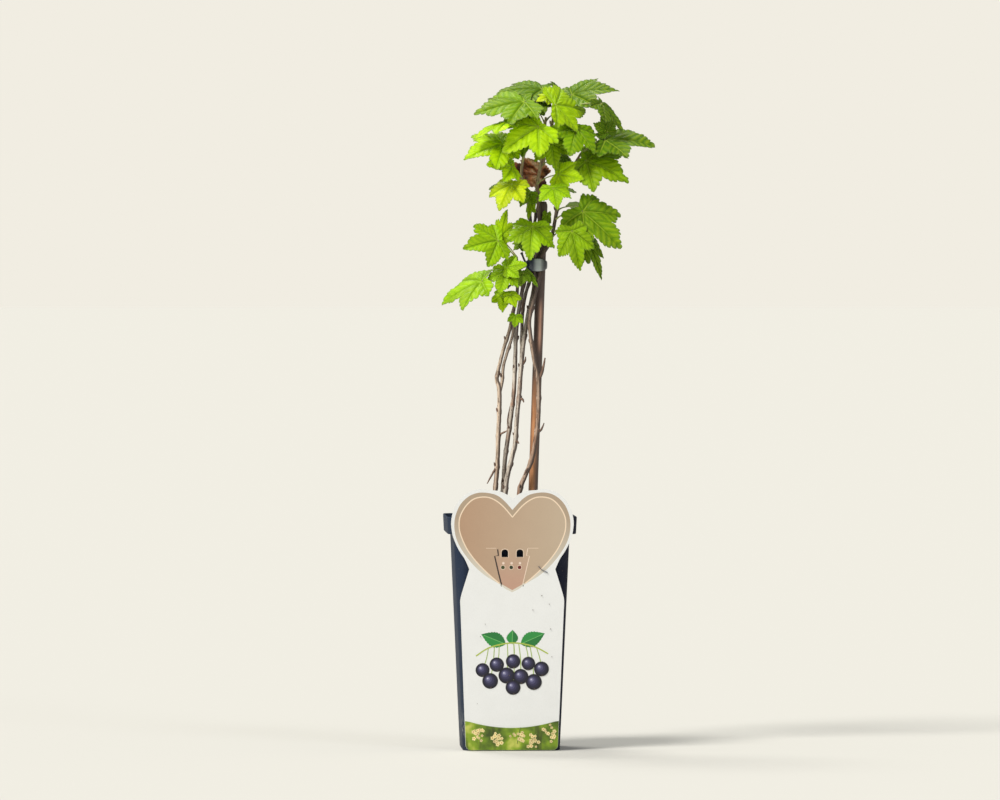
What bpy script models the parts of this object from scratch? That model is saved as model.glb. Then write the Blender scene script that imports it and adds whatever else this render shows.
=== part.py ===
"""Young potted blackcurrant bush: square nursery pot, soil, stake, tie, hang label, leafy canes.

Frame: metres, +Z up, origin at the centre of the pot's flat underside, the label on the -Y side.
"""
from collections import namedtuple
from math import atan2, copysign, cos, pi, radians, sin
import random

import bmesh
import bpy
from mathutils import Matrix, Vector

MM = 0.001
GAP = 0.3 * MM
WELD = 0.001 * MM
SMOOTH_ANGLE = radians(50)

# Pot
POT_HEIGHT = 215 * MM
POT_BOTTOM_WIDTH = 89.6 * MM
POT_BODY_TOP_WIDTH = 106.8 * MM
COLLAR_WIDTH = 119.4 * MM
COLLAR_BOTTOM_WIDTH = 117.8 * MM
COLLAR_BASE = 199 * MM
POT_WALL = 1.5 * MM
BODY_TOP = COLLAR_BASE + POT_WALL
POT_FLOOR = 2.5 * MM
POT_CORNER = 10 * MM
DRAIN_RADIUS = 6 * MM
DRAIN_OFFSET = 30 * MM
DRAIN_SIDES = 10
CUT_OVERLAP = 1 * MM

# Soil
SOIL_TOP = 198 * MM
SOIL_RINGS = 4
SOIL_UNEVEN = 2.2 * MM
HOLE_CLEARANCE = 0.5 * MM
HOLE_SIDES = 8

# Stake
STAKE_RADIUS = 4.4 * MM
STAKE_FOOT = Vector((15.0, 5.6, 35)) * MM
STAKE_HEAD = Vector((31.1, 4.6, 504)) * MM
STAKE_SIDES = 10
STAKE_HOLE_LENGTH = 180 * MM

# Label card, outlined in its own plane with the height measured along the card
CARD_THICKNESS = 0.8 * MM
CARD_FOOT = Vector((0, -47.4, 0.6)) * MM
CARD_AT_COLLAR = Vector((0, -60.7, 199)) * MM
HEART_HALF_WIDTH = 56.2 * MM
HEART_WIDEST = 208 * MM
HEART_LOBE_OFFSET = 28.5 * MM
HEART_TOP = 240.5 * MM
HEART_NOTCH = ((0, 232), (6, 236), (13, 239))
CARD_SIDE = ((52.6, 192), (43.5, 176), (39.5, 167), (43.1, 155), (47.8, 137.5))
CARD_FOOT_HALF_WIDTH = 42.5 * MM
CARD_CORNER = 5 * MM
WINDOW_INNER = 3.9 * MM
WINDOW_OUTER = 9.9 * MM
WINDOW_BASE = 178 * MM
WINDOW_SHOULDER = 182.5 * MM
WINDOW_TOP = 185 * MM
SLIT = ((16, 178), (16.9, 178), (10.3, 151), (9.4, 151))
HANGER_HALF_WIDTH = 13 * MM
HANGER_FRONT = 61.7 * MM
HANGER_DROP = 203 * MM

# Tie round the stake and the canes
TIE_CENTRE = Vector((24.9, 2.5, 445.5)) * MM
TIE_HALF_LENGTH = 9.2 * MM
TIE_HALF_DEPTH = 7.4 * MM
TIE_SQUARENESS = 4
TIE_BAND = 0.9 * MM
TIE_HEIGHT = 12 * MM
TIE_POINTS = 24
TIE_TAIL_RADIUS = 0.9
TIE_TAIL_SPACING = 4 * MM
TIE_TAILS = (
    ((15.6, -3.5, 447), (13.4, -6.5, 450), (10.6, -8.5, 457)),
    ((15.8, -4.2, 445), (12.4, -8.2, 443.4), (7.6, -9.6, 440.8)),
    ((15.8, -4, 442), (9.4, -8.4, 434.4), (-2.9, -9.4, 424.1)),
)

# Canes
CANE_ROOT_DEPTH = 138
CANE_SPACING = 13 * MM
CANE_BEVEL_RESOLUTION = 1
TWIG_SPACING = 4 * MM
TWIG_TAPER = 1.3
PETIOLE_RADIUS = 0.85 * MM
PETIOLE_STEPS = 3
BLADE_THICKNESS = 0.7 * MM

# One half of a leaf's outline: degrees from the middle rib, and reach as a share of the middle lobe
BLADE_OUTLINE = (
    (0, 1.00), (9, 0.85), (16, 0.80), (28, 0.61),
    (37, 0.71), (44, 0.73), (51, 0.82), (61, 0.70), (69, 0.66), (80, 0.53),
    (100, 0.58), (128, 0.44), (180, 0.12),
)
INNER_RING = 0.52

# Stem routes in millimetres, each point with the stem's radius there
STEMS = {
    "left": (
        (-14.5, -3, CANE_ROOT_DEPTH, 2.3), (-14.5, -3, 206, 2.3),
        (-12.9, -3, 242, 2.2), (-11.3, -3.5, 262, 2.1),
        (-10.5, -4, 290, 2.1), (-9.7, -4, 307, 2.0), (-9.6, -4.5, 331, 2.1), (-12.0, -5.5, 341, 1.8),
        (-8.6, -6, 357, 1.7), (-4.9, -6, 371, 1.7), (0.2, -6, 387, 1.7), (3.4, -5.5, 404, 1.6),
        (6.2, -5, 414, 1.6), (7.2, -5, 427, 1.5), (7.4, -4.6, 440, 1.4), (6.4, -4.6, 453, 1.1),
    ),
    "left_fork": (
        (-9.4, -4.3, 327, 1.7), (-6.9, -4, 339, 1.5), (-5.8, -4, 352, 1.4), (-2, -4, 366, 1.4),
        (2.4, -4.4, 380, 1.3), (3.6, -5, 393, 1.2), (3.4, -5.5, 403, 1.0),
    ),
    "inner": (
        (-9, 4, CANE_ROOT_DEPTH, 2.3), (-9, 4, 206, 2.3),
        (-5.5, 3, 244, 2.2), (-4, 3, 267, 2.1),
        (-0.6, 2, 291, 2.1), (3.6, 1.2, 324, 2.0), (4.9, 1, 347, 2.0), (5.5, 0.8, 366, 1.9),
        (6.2, 0, 385, 1.9), (8.7, -1.6, 405, 1.9), (13, -2, 428, 1.8), (18.2, -0.2, 440, 1.8),
        (18.4, 0, 451, 1.8), (20, 0.6, 465, 1.8), (19.3, 0, 486, 1.7), (15.6, -2, 511, 1.6),
        (11, -3, 529, 1.5), (13.8, -3, 552, 1.4), (16.6, 0, 575, 1.3), (18.4, 2, 591, 1.1),
    ),
    "centre": (
        (-4.5, -4.5, CANE_ROOT_DEPTH, 2.3), (-4.5, -4.5, 206, 2.3),
        (-3.4, -4.5, 242, 2.2), (1.8, -4, 267, 2.2),
        (5, -4, 281, 2.2), (6.9, -4, 308, 2.1), (8.7, -3.5, 325, 2.1), (10.1, -3.5, 347, 2.1),
        (12, -3, 366, 2.0), (14.4, -2.6, 385, 2.0), (16.8, -1.6, 399, 1.9), (20.2, -1.2, 413, 1.9),
        (22.8, -0.8, 428, 1.8), (23.3, -0.3, 440, 1.8), (23.6, -0.6, 452, 1.8), (26.4, -2.8, 466, 1.7),
        (27.3, -3.2, 492, 1.7), (25.2, -2.4, 515, 1.6), (27.6, -1, 532, 1.5), (32.2, 0, 552, 1.4),
        (38.6, 1, 573, 1.3), (42, 2, 589, 1.1),
    ),
    "rear": (
        (10.8, -3.2, 358, 1.7), (11.2, 0.6, 372, 1.6), (11.6, 3, 388, 1.6), (12.4, 3.8, 404, 1.6),
        (15.4, 4.6, 420, 1.6), (19.6, 4.9, 433, 1.5), (20.7, 4.8, 442, 1.5), (20.8, 5.6, 453, 1.5),
        (21.2, 9.6, 466, 1.5), (24, 13, 486, 1.5), (29, 14.4, 510, 1.4), (32, 15.4, 535, 1.3),
        (33, 15.4, 560, 1.2), (34, 14, 582, 1.0),
    ),
    "right": (
        (7.5, -3, CANE_ROOT_DEPTH, 2.3), (7.5, -3, 206, 2.3),
        (9.4, -3.5, 237, 2.3), (14.2, -4.5, 251, 2.2),
        (20.4, -5.4, 267, 2.2), (24.6, -6, 290, 2.2), (26.4, -6, 308, 2.1), (26.4, -6, 338, 2.1),
        (22.4, -7, 358, 1.9), (18.8, -7.6, 382, 1.8), (18, -7.6, 394, 1.8), (21, -7.4, 409, 1.8),
        (25.6, -5, 427, 1.8), (28.8, -2.4, 439, 1.8), (29.4, -2.4, 452, 1.8), (38, -3, 469, 1.7),
        (42.3, -3, 489, 1.6), (45, -2, 502, 1.6), (51.5, 0, 520, 1.4), (59.8, 2, 538, 1.3),
        (68, 3, 551, 1.1),
    ),
}

# Bare side twigs and stubs in millimetres: the stem that carries each, then its points and end radii
TWIGS = {
    "left": (
        ((-11.4, -3.4, 261), (-16, -5, 253), (-21, -6, 244), 0.8),
        ((-10.5, -4, 289), (-6, -7, 291), (-2.5, -8, 293), 0.7),
    ),
    "inner": (
        ((-0.6, 2, 291), (-1.2, 6, 303), (2.6, 9, 322), 0.7),
    ),
    "centre": (
        ((5.1, -4, 282), (6.6, -7, 283), (8.4, -8.4, 281), 0.9),
        ((8.4, -3.6, 321), (11.5, -6, 322), (12.8, -7.6, 319), 0.9),
        ((10.8, -3.4, 352), (14.0, -5.5, 357), (14.6, -6.4, 361), 0.8),
    ),
    "right": (
        ((26.4, -6, 338), (30, -8, 348), (32.4, -8.6, 360), 1.1),
        ((24.8, -6, 290), (29, -8, 294), (31.5, -8.6, 300), 0.8),
        ((17.4, -5, 259), (15.2, -8, 256), (13.2, -9, 252), 0.8),
    ),
}

CANES = {
    "cane_left": ("left", "left_fork"),
    "cane_inner": ("inner",),
    "cane_centre": ("centre", "rear"),
    "cane_right": ("right",),
}

# A leaf in millimetres: its stem, the height where its stalk leaves the stem, the top of the stalk, the
# tip of the middle lobe, the way the upper side faces, then how far the tip and the sides bend down and
# how wide the blade is opened
Leaf = namedtuple("Leaf", "stem at junction tip face droop side spread", defaults=(0.22, 0.25, 1.0))
LEAVES = (
    Leaf("left", 450, (-11, -14, 468), (-42, -25, 461), (-0.15, -0.9, 0.35)),
    Leaf("left", 452, (-8, -6, 472), (-3, -9, 496), (-0.5, -0.8, -0.1), 0.15, 0.3, 0.6),
    Leaf("left", 438, (-4, -13, 440), (-10, -20, 419), (-0.15, -0.9, 0.3)),
    Leaf("left", 446, (-3, -15, 443), (15, -17, 446), (-0.1, -0.85, 0.5)),
    Leaf("left", 432, (-26.5, -18, 431), (-62.5, -6, 409), (-0.55, -0.38, 0.73)),
    Leaf("left", 420, (-4.7, -12, 419), (-7.5, -18, 402.5), (-0.1, -0.9, 0.35)),
    Leaf("left", 417, (0, -15, 418), (5, -19, 406), (0.2, -0.9, 0.3)),
    Leaf("left", 398, (5.5, -11, 398.5), (4, -15, 388), (0, -0.9, 0.3)),
    Leaf("left", 436, (12, -14, 438), (9.5, -18, 426), (0.1, -0.95, 0.2)),
    Leaf("left", 425, (0, 16, 438), (-10, 36, 430), (-0.3, 0.4, 0.85)),
    Leaf("inner", 588, (31, 10, 608), (-12, 6, 601), (-0.05, -0.38, 0.92), 0.3),
    Leaf("inner", 575, (13, -19, 596), (-33, -26, 583), (-0.2, -0.5, 0.85)),
    Leaf("inner", 560, (-3, -29, 577), (-34, -34, 560), (-0.55, -0.2, 0.82), 0.3),
    Leaf("inner", 545, (-6, -20, 557), (-42, -32, 544), (-0.25, -0.7, 0.65)),
    Leaf("inner", 562, (25, -30, 573), (-8, -44, 550), (-0.05, -0.8, 0.6)),
    Leaf("inner", 525, (1, -24, 536), (-23, -38, 537), (0.1, -0.75, 0.65)),
    Leaf("inner", 512, (1, -26, 520), (-11, -38, 495), (-0.45, -0.8, 0.4)),
    Leaf("inner", 540, (14, -16, 557), (-2, -18, 546), (-0.3, -0.5, 0.8)),
    Leaf("inner", 502, (18, -10, 512), (9, -14, 499), (-0.5, -0.8, 0.1)),
    Leaf("inner", 495, (20, -13, 503), (16.5, -18, 487), (-0.6, -0.8, 0.1), 0.1, 0.2, 0.5),
    Leaf("inner", 474, (20.5, -16, 481), (17.5, -30, 451), (0, -0.9, 0.42)),
    Leaf("inner", 458, (11, -9, 465), (3, -13, 459), (-0.3, -0.8, 0.5)),
    Leaf("inner", 500, (2, 22, 522), (-10, 44, 513), (-0.3, 0.5, 0.8)),
    Leaf("centre", 584, (41.5, -24, 593), (69.5, 3, 586), (0.66, -0.54, 0.53)),
    Leaf("inner", 574, (29, -11, 593), (16, -23, 579), (-0.5, -0.7, 0.55), spread=0.75),
    Leaf("inner", 584, (36, -12, 600), (24, -18, 596), (0, -0.6, 0.8)),
    Leaf("centre", 587, (50, 18, 604), (37, 30, 613), (0.4, 0.4, 0.8)),
    Leaf("centre", 586, (58, 10, 603), (101, 6, 607), (0.05, -0.5, 0.87), 0.3),
    Leaf("centre", 583, (84, -17, 594), (103, -22, 567), (0.7, -0.55, 0.5), 0.25, 0.3, 0.6),
    Leaf("centre", 563, (61, -16, 572), (53, -38, 545), (0.3, -0.7, 0.6)),
    Leaf("centre", 546, (37, -20, 558), (41, -30, 533), (-0.1, -0.95, 0.2)),
    Leaf("centre", 535, (48, 0, 546), (54, -6, 531), (0.6, -0.7, 0.2)),
    Leaf("centre", 520, (44, -19, 529), (67, -25, 524), (0.1, -0.95, 0.3)),
    Leaf("centre", 505, (39, -31, 516), (42, -44, 497), (0, -0.8, 0.55)),
    Leaf("centre", 480, (34.5, -4, 492), (33, -7, 478), (0.2, -0.95, 0.2), 0.1, 0.2, 0.5),
    Leaf("centre", 428, (16, -9, 438.5), (25.5, -13, 425), (0.3, -0.9, 0.3), 0.1, 0.2, 0.4),
    Leaf("rear", 505, (42, 32, 518), (48, 58, 508), (0.1, 0.5, 0.85)),
    Leaf("rear", 550, (20, 32, 566), (14, 60, 556), (-0.1, 0.5, 0.85)),
    Leaf("rear", 545, (60, 28, 566), (72, 52, 557), (0.2, 0.5, 0.85)),
    Leaf("rear", 575, (20, 28, 598), (8, 52, 590), (-0.15, 0.4, 0.9)),
    Leaf("rear", 578, (58, 28, 596), (76, 50, 594), (0.15, 0.4, 0.9)),
    Leaf("right", 546, (88, -6, 561), (133, -10, 556), (-0.1, -0.45, 0.9), 0.25),
    Leaf("right", 547, (90, -7, 568), (85, -10, 588), (0.3, -0.85, -0.3), 0.1, 0.2, 0.8),
    Leaf("right", 530, (70, -8, 542), (108, -20, 523), (0.2, -0.75, 0.6)),
    Leaf("right", 487, (66.5, -22, 495), (101, -29, 461), (0.2, -0.9, 0.35), spread=0.8),
    Leaf("right", 470, (56, -33, 476.5), (63.5, -37, 441.5), (-0.1, -0.95, 0.2), 0.22, 0.25, 0.72),
    Leaf("right", 476, (69, -16, 473), (84, -20, 432), (0.5, -0.8, 0.3), 0.2, 0.25, 0.45),
    Leaf("right", 495, (70, 22, 502), (84, 46, 490), (0.3, 0.5, 0.8)),
)

# Dry leaf: a curled blade caught behind the front canes
DRY_JUNCTION = (28.5, 6.4, 527.5)
DRY_TIP = (-5.5, 5.6, 536.5)
DRY_FACE = (0.1, -0.95, 0.3)
DRY_CURL = 0.16
DRY_SPREAD = 0.62


def clear_scene():
    for obj in list(bpy.data.objects):
        bpy.data.objects.remove(obj, do_unlink=True)


def new_collection(name):
    collection = bpy.data.collections.new(name)
    bpy.context.scene.collection.children.link(collection)
    return collection


def make_material(name, colour, roughness, metallic=0.0):
    material = bpy.data.materials.new(name)
    material.use_nodes = True
    shader = material.node_tree.nodes["Principled BSDF"]
    shader.inputs["Base Color"].default_value = (*colour, 1.0)
    shader.inputs["Roughness"].default_value = roughness
    shader.inputs["Metallic"].default_value = metallic
    return material


def object_from_bmesh(name, bm, collection):
    mesh = bpy.data.meshes.new(name)
    bm.to_mesh(mesh)
    bm.free()
    obj = bpy.data.objects.new(name, mesh)
    collection.objects.link(obj)
    return obj


def bake(obj):
    """Replace an object, curve or mesh, by the plain mesh it evaluates to, with loose caps welded."""
    bpy.context.view_layer.update()
    evaluated = obj.evaluated_get(bpy.context.evaluated_depsgraph_get())
    mesh = bpy.data.meshes.new_from_object(evaluated)
    bm = bmesh.new()
    bm.from_mesh(mesh)
    if obj.type == "CURVE":
        bmesh.ops.remove_doubles(bm, verts=bm.verts, dist=WELD)
    bmesh.ops.triangulate(bm, faces=bm.faces)
    bm.to_mesh(mesh)
    bm.free()
    name = obj.name
    matrix = obj.matrix_world.copy()
    homes = list(obj.users_collection)
    bpy.data.objects.remove(obj, do_unlink=True)
    baked = bpy.data.objects.new(name, mesh)
    baked.matrix_world = matrix
    for home in homes:
        home.objects.link(baked)
    return baked


def fuse(body, pieces):
    """Join every object of a collection into body and remove them."""
    union = body.modifiers.new("union", "BOOLEAN")
    union.operation = "UNION"
    union.operand_type = "COLLECTION"
    union.collection = pieces
    union.solver = "MANIFOLD"
    fused = bake(body)
    for piece in list(pieces.objects):
        bpy.data.objects.remove(piece, do_unlink=True)
    bpy.data.collections.remove(pieces)
    return fused


def cut(body, cutter):
    """Subtract one cutter, which stays in the file as a wire guide."""
    difference = body.modifiers.new("cut " + cutter.name, "BOOLEAN")
    difference.operation = "DIFFERENCE"
    difference.object = cutter
    cutter.hide_render = True
    cutter.display_type = "WIRE"


def shade_smooth(obj):
    obj.data.shade_smooth()
    obj.data.set_sharp_from_angle(angle=SMOOTH_ANGLE)


def smooth_path(points, spacing):
    """Points about spacing apart on a Catmull-Rom curve through the given ones."""
    path = []
    for i in range(len(points) - 1):
        before = points[max(i - 1, 0)]
        start, end = points[i], points[i + 1]
        after = points[min(i + 2, len(points) - 1)]
        steps = max(1, round((end.xyz - start.xyz).length / spacing))
        for step in range(steps):
            t = step / steps
            path.append(0.5 * (2 * start + (end - before) * t
                               + (2 * before - 5 * start + 4 * end - after) * t ** 2
                               + (3 * start - before - 3 * end + after) * t ** 3))
    path.append(points[-1])
    return path


def tube(name, points, collection, resolution):
    """A round rod along points, whose fourth component is the radius."""
    curve = bpy.data.curves.new(name, "CURVE")
    curve.dimensions = "3D"
    curve.bevel_depth = 1.0
    curve.bevel_resolution = resolution
    curve.use_fill_caps = True
    spline = curve.splines.new("POLY")
    spline.points.add(len(points) - 1)
    for knot, point in zip(spline.points, points):
        knot.co = (point[0], point[1], point[2], 1.0)
        knot.radius = point[3]
    obj = bpy.data.objects.new(name, curve)
    collection.objects.link(obj)
    return bake(obj)


def stem_path(name):
    return smooth_path([Vector(knot) * MM for knot in STEMS[name]], CANE_SPACING)


def point_at_height(path, height):
    """The point of a rising path at a given height."""
    for low, high in zip(path, path[1:]):
        if low.z <= height <= high.z:
            return low.lerp(high, (height - low.z) / (high.z - low.z))
    return path[-1]


# Leaves

def leaf_frame(leaf):
    """Junction, middle-rib direction, side direction, upper normal and middle-lobe length."""
    junction = Vector(leaf.junction) * MM
    chord = Vector(leaf.tip) * MM - junction
    along = chord.normalized()
    face = Vector(leaf.face)
    face = (face - face.dot(along) * along).normalized()
    bend = atan2(leaf.droop, 1.0)
    rib = cos(bend) * along + sin(bend) * face
    normal = cos(bend) * face - sin(bend) * along
    size = chord.length * cos(bend)
    return junction, rib, normal.cross(rib), normal, size


def blade_outline():
    """The whole outline, all the way round, as angle and reach."""
    left = [(radians(angle), reach) for angle, reach in BLADE_OUTLINE]
    right = [(-angle, reach) for angle, reach in reversed(left[1:-1])]
    return left + right


def blade_point(leaf, frame, angle, reach):
    junction, rib, across, normal, size = frame
    u = reach * cos(angle)
    v = reach * sin(angle)
    drop = leaf.droop * max(u, 0) ** 2 + leaf.side * v ** 2
    return junction + size * (u * rib + leaf.spread * v * across - drop * normal)


def blade(name, leaf, collection):
    """A lobed, toothed sheet of triangles round its stalk, given its thickness by Solidify."""
    frame = leaf_frame(leaf)
    outline = blade_outline()
    bm = bmesh.new()
    centre = bm.verts.new(frame[0])
    inner = []
    outer = []
    for i, (angle, reach) in enumerate(outline):
        outer.append(bm.verts.new(blade_point(leaf, frame, angle, reach)))
        if i % 2 == 0:
            inner.append(bm.verts.new(blade_point(leaf, frame, angle, INNER_RING * reach)))
    for i, near in enumerate(inner):
        following = inner[(i + 1) % len(inner)]
        edge = outer[2 * i:2 * i + 2] + [outer[(2 * i + 2) % len(outer)]]
        bm.faces.new((centre, near, following))
        bm.faces.new((near, edge[0], edge[1]))
        bm.faces.new((near, edge[1], following))
        bm.faces.new((following, edge[1], edge[2]))
    obj = object_from_bmesh(name, bm, collection)
    shell = obj.modifiers.new("thickness", "SOLIDIFY")
    shell.thickness = BLADE_THICKNESS
    shell.offset = 0.0
    return bake(obj)


def petiole(name, leaf, stem, collection):
    """The leaf stalk, from the middle of the stem to just inside the blade."""
    junction, rib, _, normal, _ = leaf_frame(leaf)
    start = point_at_height(stem, leaf.at * MM).xyz
    reach = (junction - start).length
    arrival = (rib + 0.7 * normal).normalized()
    away = ((junction - start) / reach + Vector((0, 0, 0.5))).normalized()
    controls = (start, start + 0.35 * reach * away, junction - 0.3 * reach * arrival, junction)
    points = []
    for step in range(PETIOLE_STEPS + 1):
        t = step / PETIOLE_STEPS
        weights = ((1 - t) ** 3, 3 * t * (1 - t) ** 2, 3 * t ** 2 * (1 - t), t ** 3)
        place = sum((weight * control for weight, control in zip(weights, controls)), Vector())
        points.append((*place, PETIOLE_RADIUS))
    return tube(name, points, collection, 0)


def make_cane(name, stems, collection, material):
    pieces = new_collection(name + "_pieces")
    main = tube(name, stem_path(stems[0]), collection, CANE_BEVEL_RESOLUTION)
    for stem in stems[1:]:
        tube(stem, stem_path(stem), pieces, CANE_BEVEL_RESOLUTION)
    for stem in stems:
        for *knots, radius in TWIGS.get(stem, ()):
            points = [Vector((*knot, radius * TWIG_TAPER)) * MM for knot in knots]
            points[-1].w = radius * MM
            tube(stem + "_twig", smooth_path(points, TWIG_SPACING), pieces, 0)
        path = stem_path(stem)
        for leaf in LEAVES:
            if leaf.stem == stem:
                blade(stem + "_blade", leaf, pieces)
                petiole(stem + "_petiole", leaf, path, pieces)
    cane = fuse(main, pieces)
    shade_smooth(cane)
    cane.data.materials.append(material)


def make_dry_leaf(collection, material):
    dry = Leaf("", 0, DRY_JUNCTION, DRY_TIP, DRY_FACE, DRY_CURL, DRY_CURL, DRY_SPREAD)
    obj = blade("dry_leaf", dry, collection)
    shade_smooth(obj)
    obj.data.materials.append(material)


# Pot and soil

def square_frustum(name, low_width, high_width, bottom, top, corner, collection):
    """A tapered square block with rounded upright edges, standing on the Z axis."""
    half = 2 ** 0.5 / 2
    bm = bmesh.new()
    bmesh.ops.create_cone(bm, cap_ends=True, segments=4, radius1=low_width * half,
                          radius2=high_width * half, depth=top - bottom)
    bmesh.ops.rotate(bm, verts=bm.verts, matrix=Matrix.Rotation(pi / 4, 3, "Z"))
    upright = [edge for edge in bm.edges if edge.verts[0].co.z * edge.verts[1].co.z < 0]
    bmesh.ops.bevel(bm, geom=upright, offset=corner, offset_type="OFFSET", segments=3, profile=0.5,
                    affect="EDGES")
    for vert in bm.verts:
        vert.co.z += (top + bottom) / 2
    return object_from_bmesh(name, bm, collection)


def body_width(height):
    """Outside width of the pot's tapered body at a height."""
    slope = (POT_BODY_TOP_WIDTH - POT_BOTTOM_WIDTH) / BODY_TOP
    return POT_BOTTOM_WIDTH + slope * height


def make_pot(collection, cutters, material):
    """The tapered body with its overhanging collar, hollowed, with four drain holes."""
    pot = square_frustum("pot", body_width(0), body_width(BODY_TOP), 0, BODY_TOP, POT_CORNER, collection)
    pieces = new_collection("pot_pieces")
    square_frustum("collar", COLLAR_BOTTOM_WIDTH, COLLAR_WIDTH, COLLAR_BASE, POT_HEIGHT, POT_CORNER, pieces)
    pot = fuse(pot, pieces)
    walls = 2 * POT_WALL
    corner = POT_CORNER - POT_WALL
    above = BODY_TOP + CUT_OVERLAP
    cut(pot, square_frustum("body_cavity", body_width(POT_FLOOR) - walls, body_width(above) - walls,
                            POT_FLOOR, above, corner, cutters))
    cut(pot, square_frustum("collar_cavity", COLLAR_BOTTOM_WIDTH - walls, COLLAR_WIDTH - walls,
                            BODY_TOP, POT_HEIGHT + CUT_OVERLAP, corner, cutters))
    for x in (-DRAIN_OFFSET, DRAIN_OFFSET):
        for y in (-DRAIN_OFFSET, DRAIN_OFFSET):
            below = Vector((x, y, -CUT_OVERLAP))
            inside = Vector((x, y, POT_FLOOR + CUT_OVERLAP))
            cut(pot, rod_between("drain_hole", below, inside, DRAIN_RADIUS, DRAIN_SIDES, cutters))
    pot = bake(pot)
    shade_smooth(pot)
    pot.data.materials.append(material)


def move_to(obj, collection):
    for home in list(obj.users_collection):
        home.objects.unlink(obj)
    collection.objects.link(obj)


def rod_between(name, foot, head, radius, sides, collection):
    """A straight round rod from foot to head."""
    bpy.ops.mesh.primitive_cylinder_add(vertices=sides, radius=radius, depth=(head - foot).length)
    rod = bpy.context.object
    rod.name = name
    rod.location = (foot + head) / 2
    rod.rotation_mode = "QUATERNION"
    rod.rotation_quaternion = (head - foot).to_track_quat("Z", "Y")
    move_to(rod, collection)
    return rod


def make_soil(collection, cutters, material):
    """The block of soil: uneven on top, with a plain hole for the stake and for each cane."""
    inset = 2 * (POT_WALL + GAP)
    foot = POT_FLOOR + GAP
    soil = square_frustum("soil", body_width(foot) - inset, body_width(SOIL_TOP) - inset,
                          foot, SOIL_TOP, POT_CORNER - POT_WALL, collection)
    draws = random.Random(5)
    bm = bmesh.new()
    bm.from_mesh(soil.data)
    top = [max(bm.faces, key=lambda face: face.calc_center_median().z)]
    rim = [vert.co.copy() for vert in top[0].verts]
    for ring in range(SOIL_RINGS):
        bmesh.ops.inset_region(bm, faces=top, thickness=GAP)
        share = 1 - (ring + 1) / (SOIL_RINGS + 1)
        for vert, edge in zip(top[0].verts, rim):
            vert.co = (edge.x * share, edge.y * share, SOIL_TOP + draws.uniform(-1, 1) * SOIL_UNEVEN)
    bmesh.ops.triangulate(bm, faces=bm.faces)
    bm.to_mesh(soil.data)
    bm.free()
    for name, stems in CANES.items():
        x, y, depth, radius = STEMS[stems[0]][0]
        foot = Vector((x * MM, y * MM, depth * MM - CUT_OVERLAP))
        head = Vector((x * MM, y * MM, POT_HEIGHT))
        cut(soil, rod_between(name + "_hole", foot, head, radius * MM + HOLE_CLEARANCE, HOLE_SIDES, cutters))
    lean = (STAKE_HEAD - STAKE_FOOT).normalized()
    foot = STAKE_FOOT - CUT_OVERLAP * lean
    head = STAKE_FOOT + STAKE_HOLE_LENGTH * lean
    cut(soil, rod_between("stake_hole", foot, head, STAKE_RADIUS + HOLE_CLEARANCE, STAKE_SIDES, cutters))
    soil = bake(soil)
    soil.data.materials.append(material)


def make_stake(collection, material):
    stake = rod_between("stake", STAKE_FOOT, STAKE_HEAD, STAKE_RADIUS, STAKE_SIDES, collection)
    shade_smooth(stake)
    stake.data.materials.append(material)


# Label

def add_outline(curve, points):
    """A closed polygon of (x, height) points in metres."""
    spline = curve.splines.new("POLY")
    spline.points.add(len(points) - 1)
    for knot, (x, height) in zip(spline.points, points):
        knot.co = (x, height, 0, 1)
    spline.use_cyclic_u = True


def arc(centre, radii, start, end, steps):
    """Points of an elliptical arc, angles in degrees."""
    points = []
    for i in range(steps + 1):
        angle = radians(start + (end - start) * i / steps)
        points.append((centre[0] + radii[0] * cos(angle), centre[1] + radii[1] * sin(angle)))
    return points


def in_metres(points):
    return [(x * MM, height * MM) for x, height in points]


def card_half():
    """The right-hand half of the card's outline, from the heart's cleft down to the foot."""
    lobe_width = HEART_HALF_WIDTH - HEART_LOBE_OFFSET
    lobe_height = HEART_TOP - HEART_WIDEST
    lobe = (HEART_LOBE_OFFSET, HEART_WIDEST)
    points = in_metres(HEART_NOTCH)
    points += arc(lobe, (HEART_LOBE_OFFSET, lobe_height), 104, 96, 1)
    points += arc(lobe, (lobe_width, lobe_height), 84, 0, 8)
    points += in_metres(CARD_SIDE)
    corner = (CARD_FOOT_HALF_WIDTH - CARD_CORNER, CARD_CORNER)
    points += arc(corner, (CARD_CORNER, CARD_CORNER), 0, -90, 4)
    return points


def add_hanger(pieces):
    """The strap folded over the collar: a flat top and one leg down inside the pot."""
    strap = bpy.data.curves.new("strap", "CURVE")
    strap.dimensions = "2D"
    strap.fill_mode = "BOTH"
    strap.extrude = HANGER_HALF_WIDTH
    low = POT_HEIGHT + GAP
    high = low + CARD_THICKNESS
    leg = COLLAR_BOTTOM_WIDTH / 2 - POT_WALL - GAP
    back = leg - CARD_THICKNESS
    add_outline(strap, [(-HANGER_FRONT, low), (-HANGER_FRONT, high), (-back, high), (-back, HANGER_DROP),
                        (-leg, HANGER_DROP), (-leg, low)])
    hanger = bpy.data.objects.new("strap", strap)
    hanger.rotation_euler = (pi / 2, 0, pi / 2)
    pieces.objects.link(hanger)
    bake(hanger)


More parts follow.
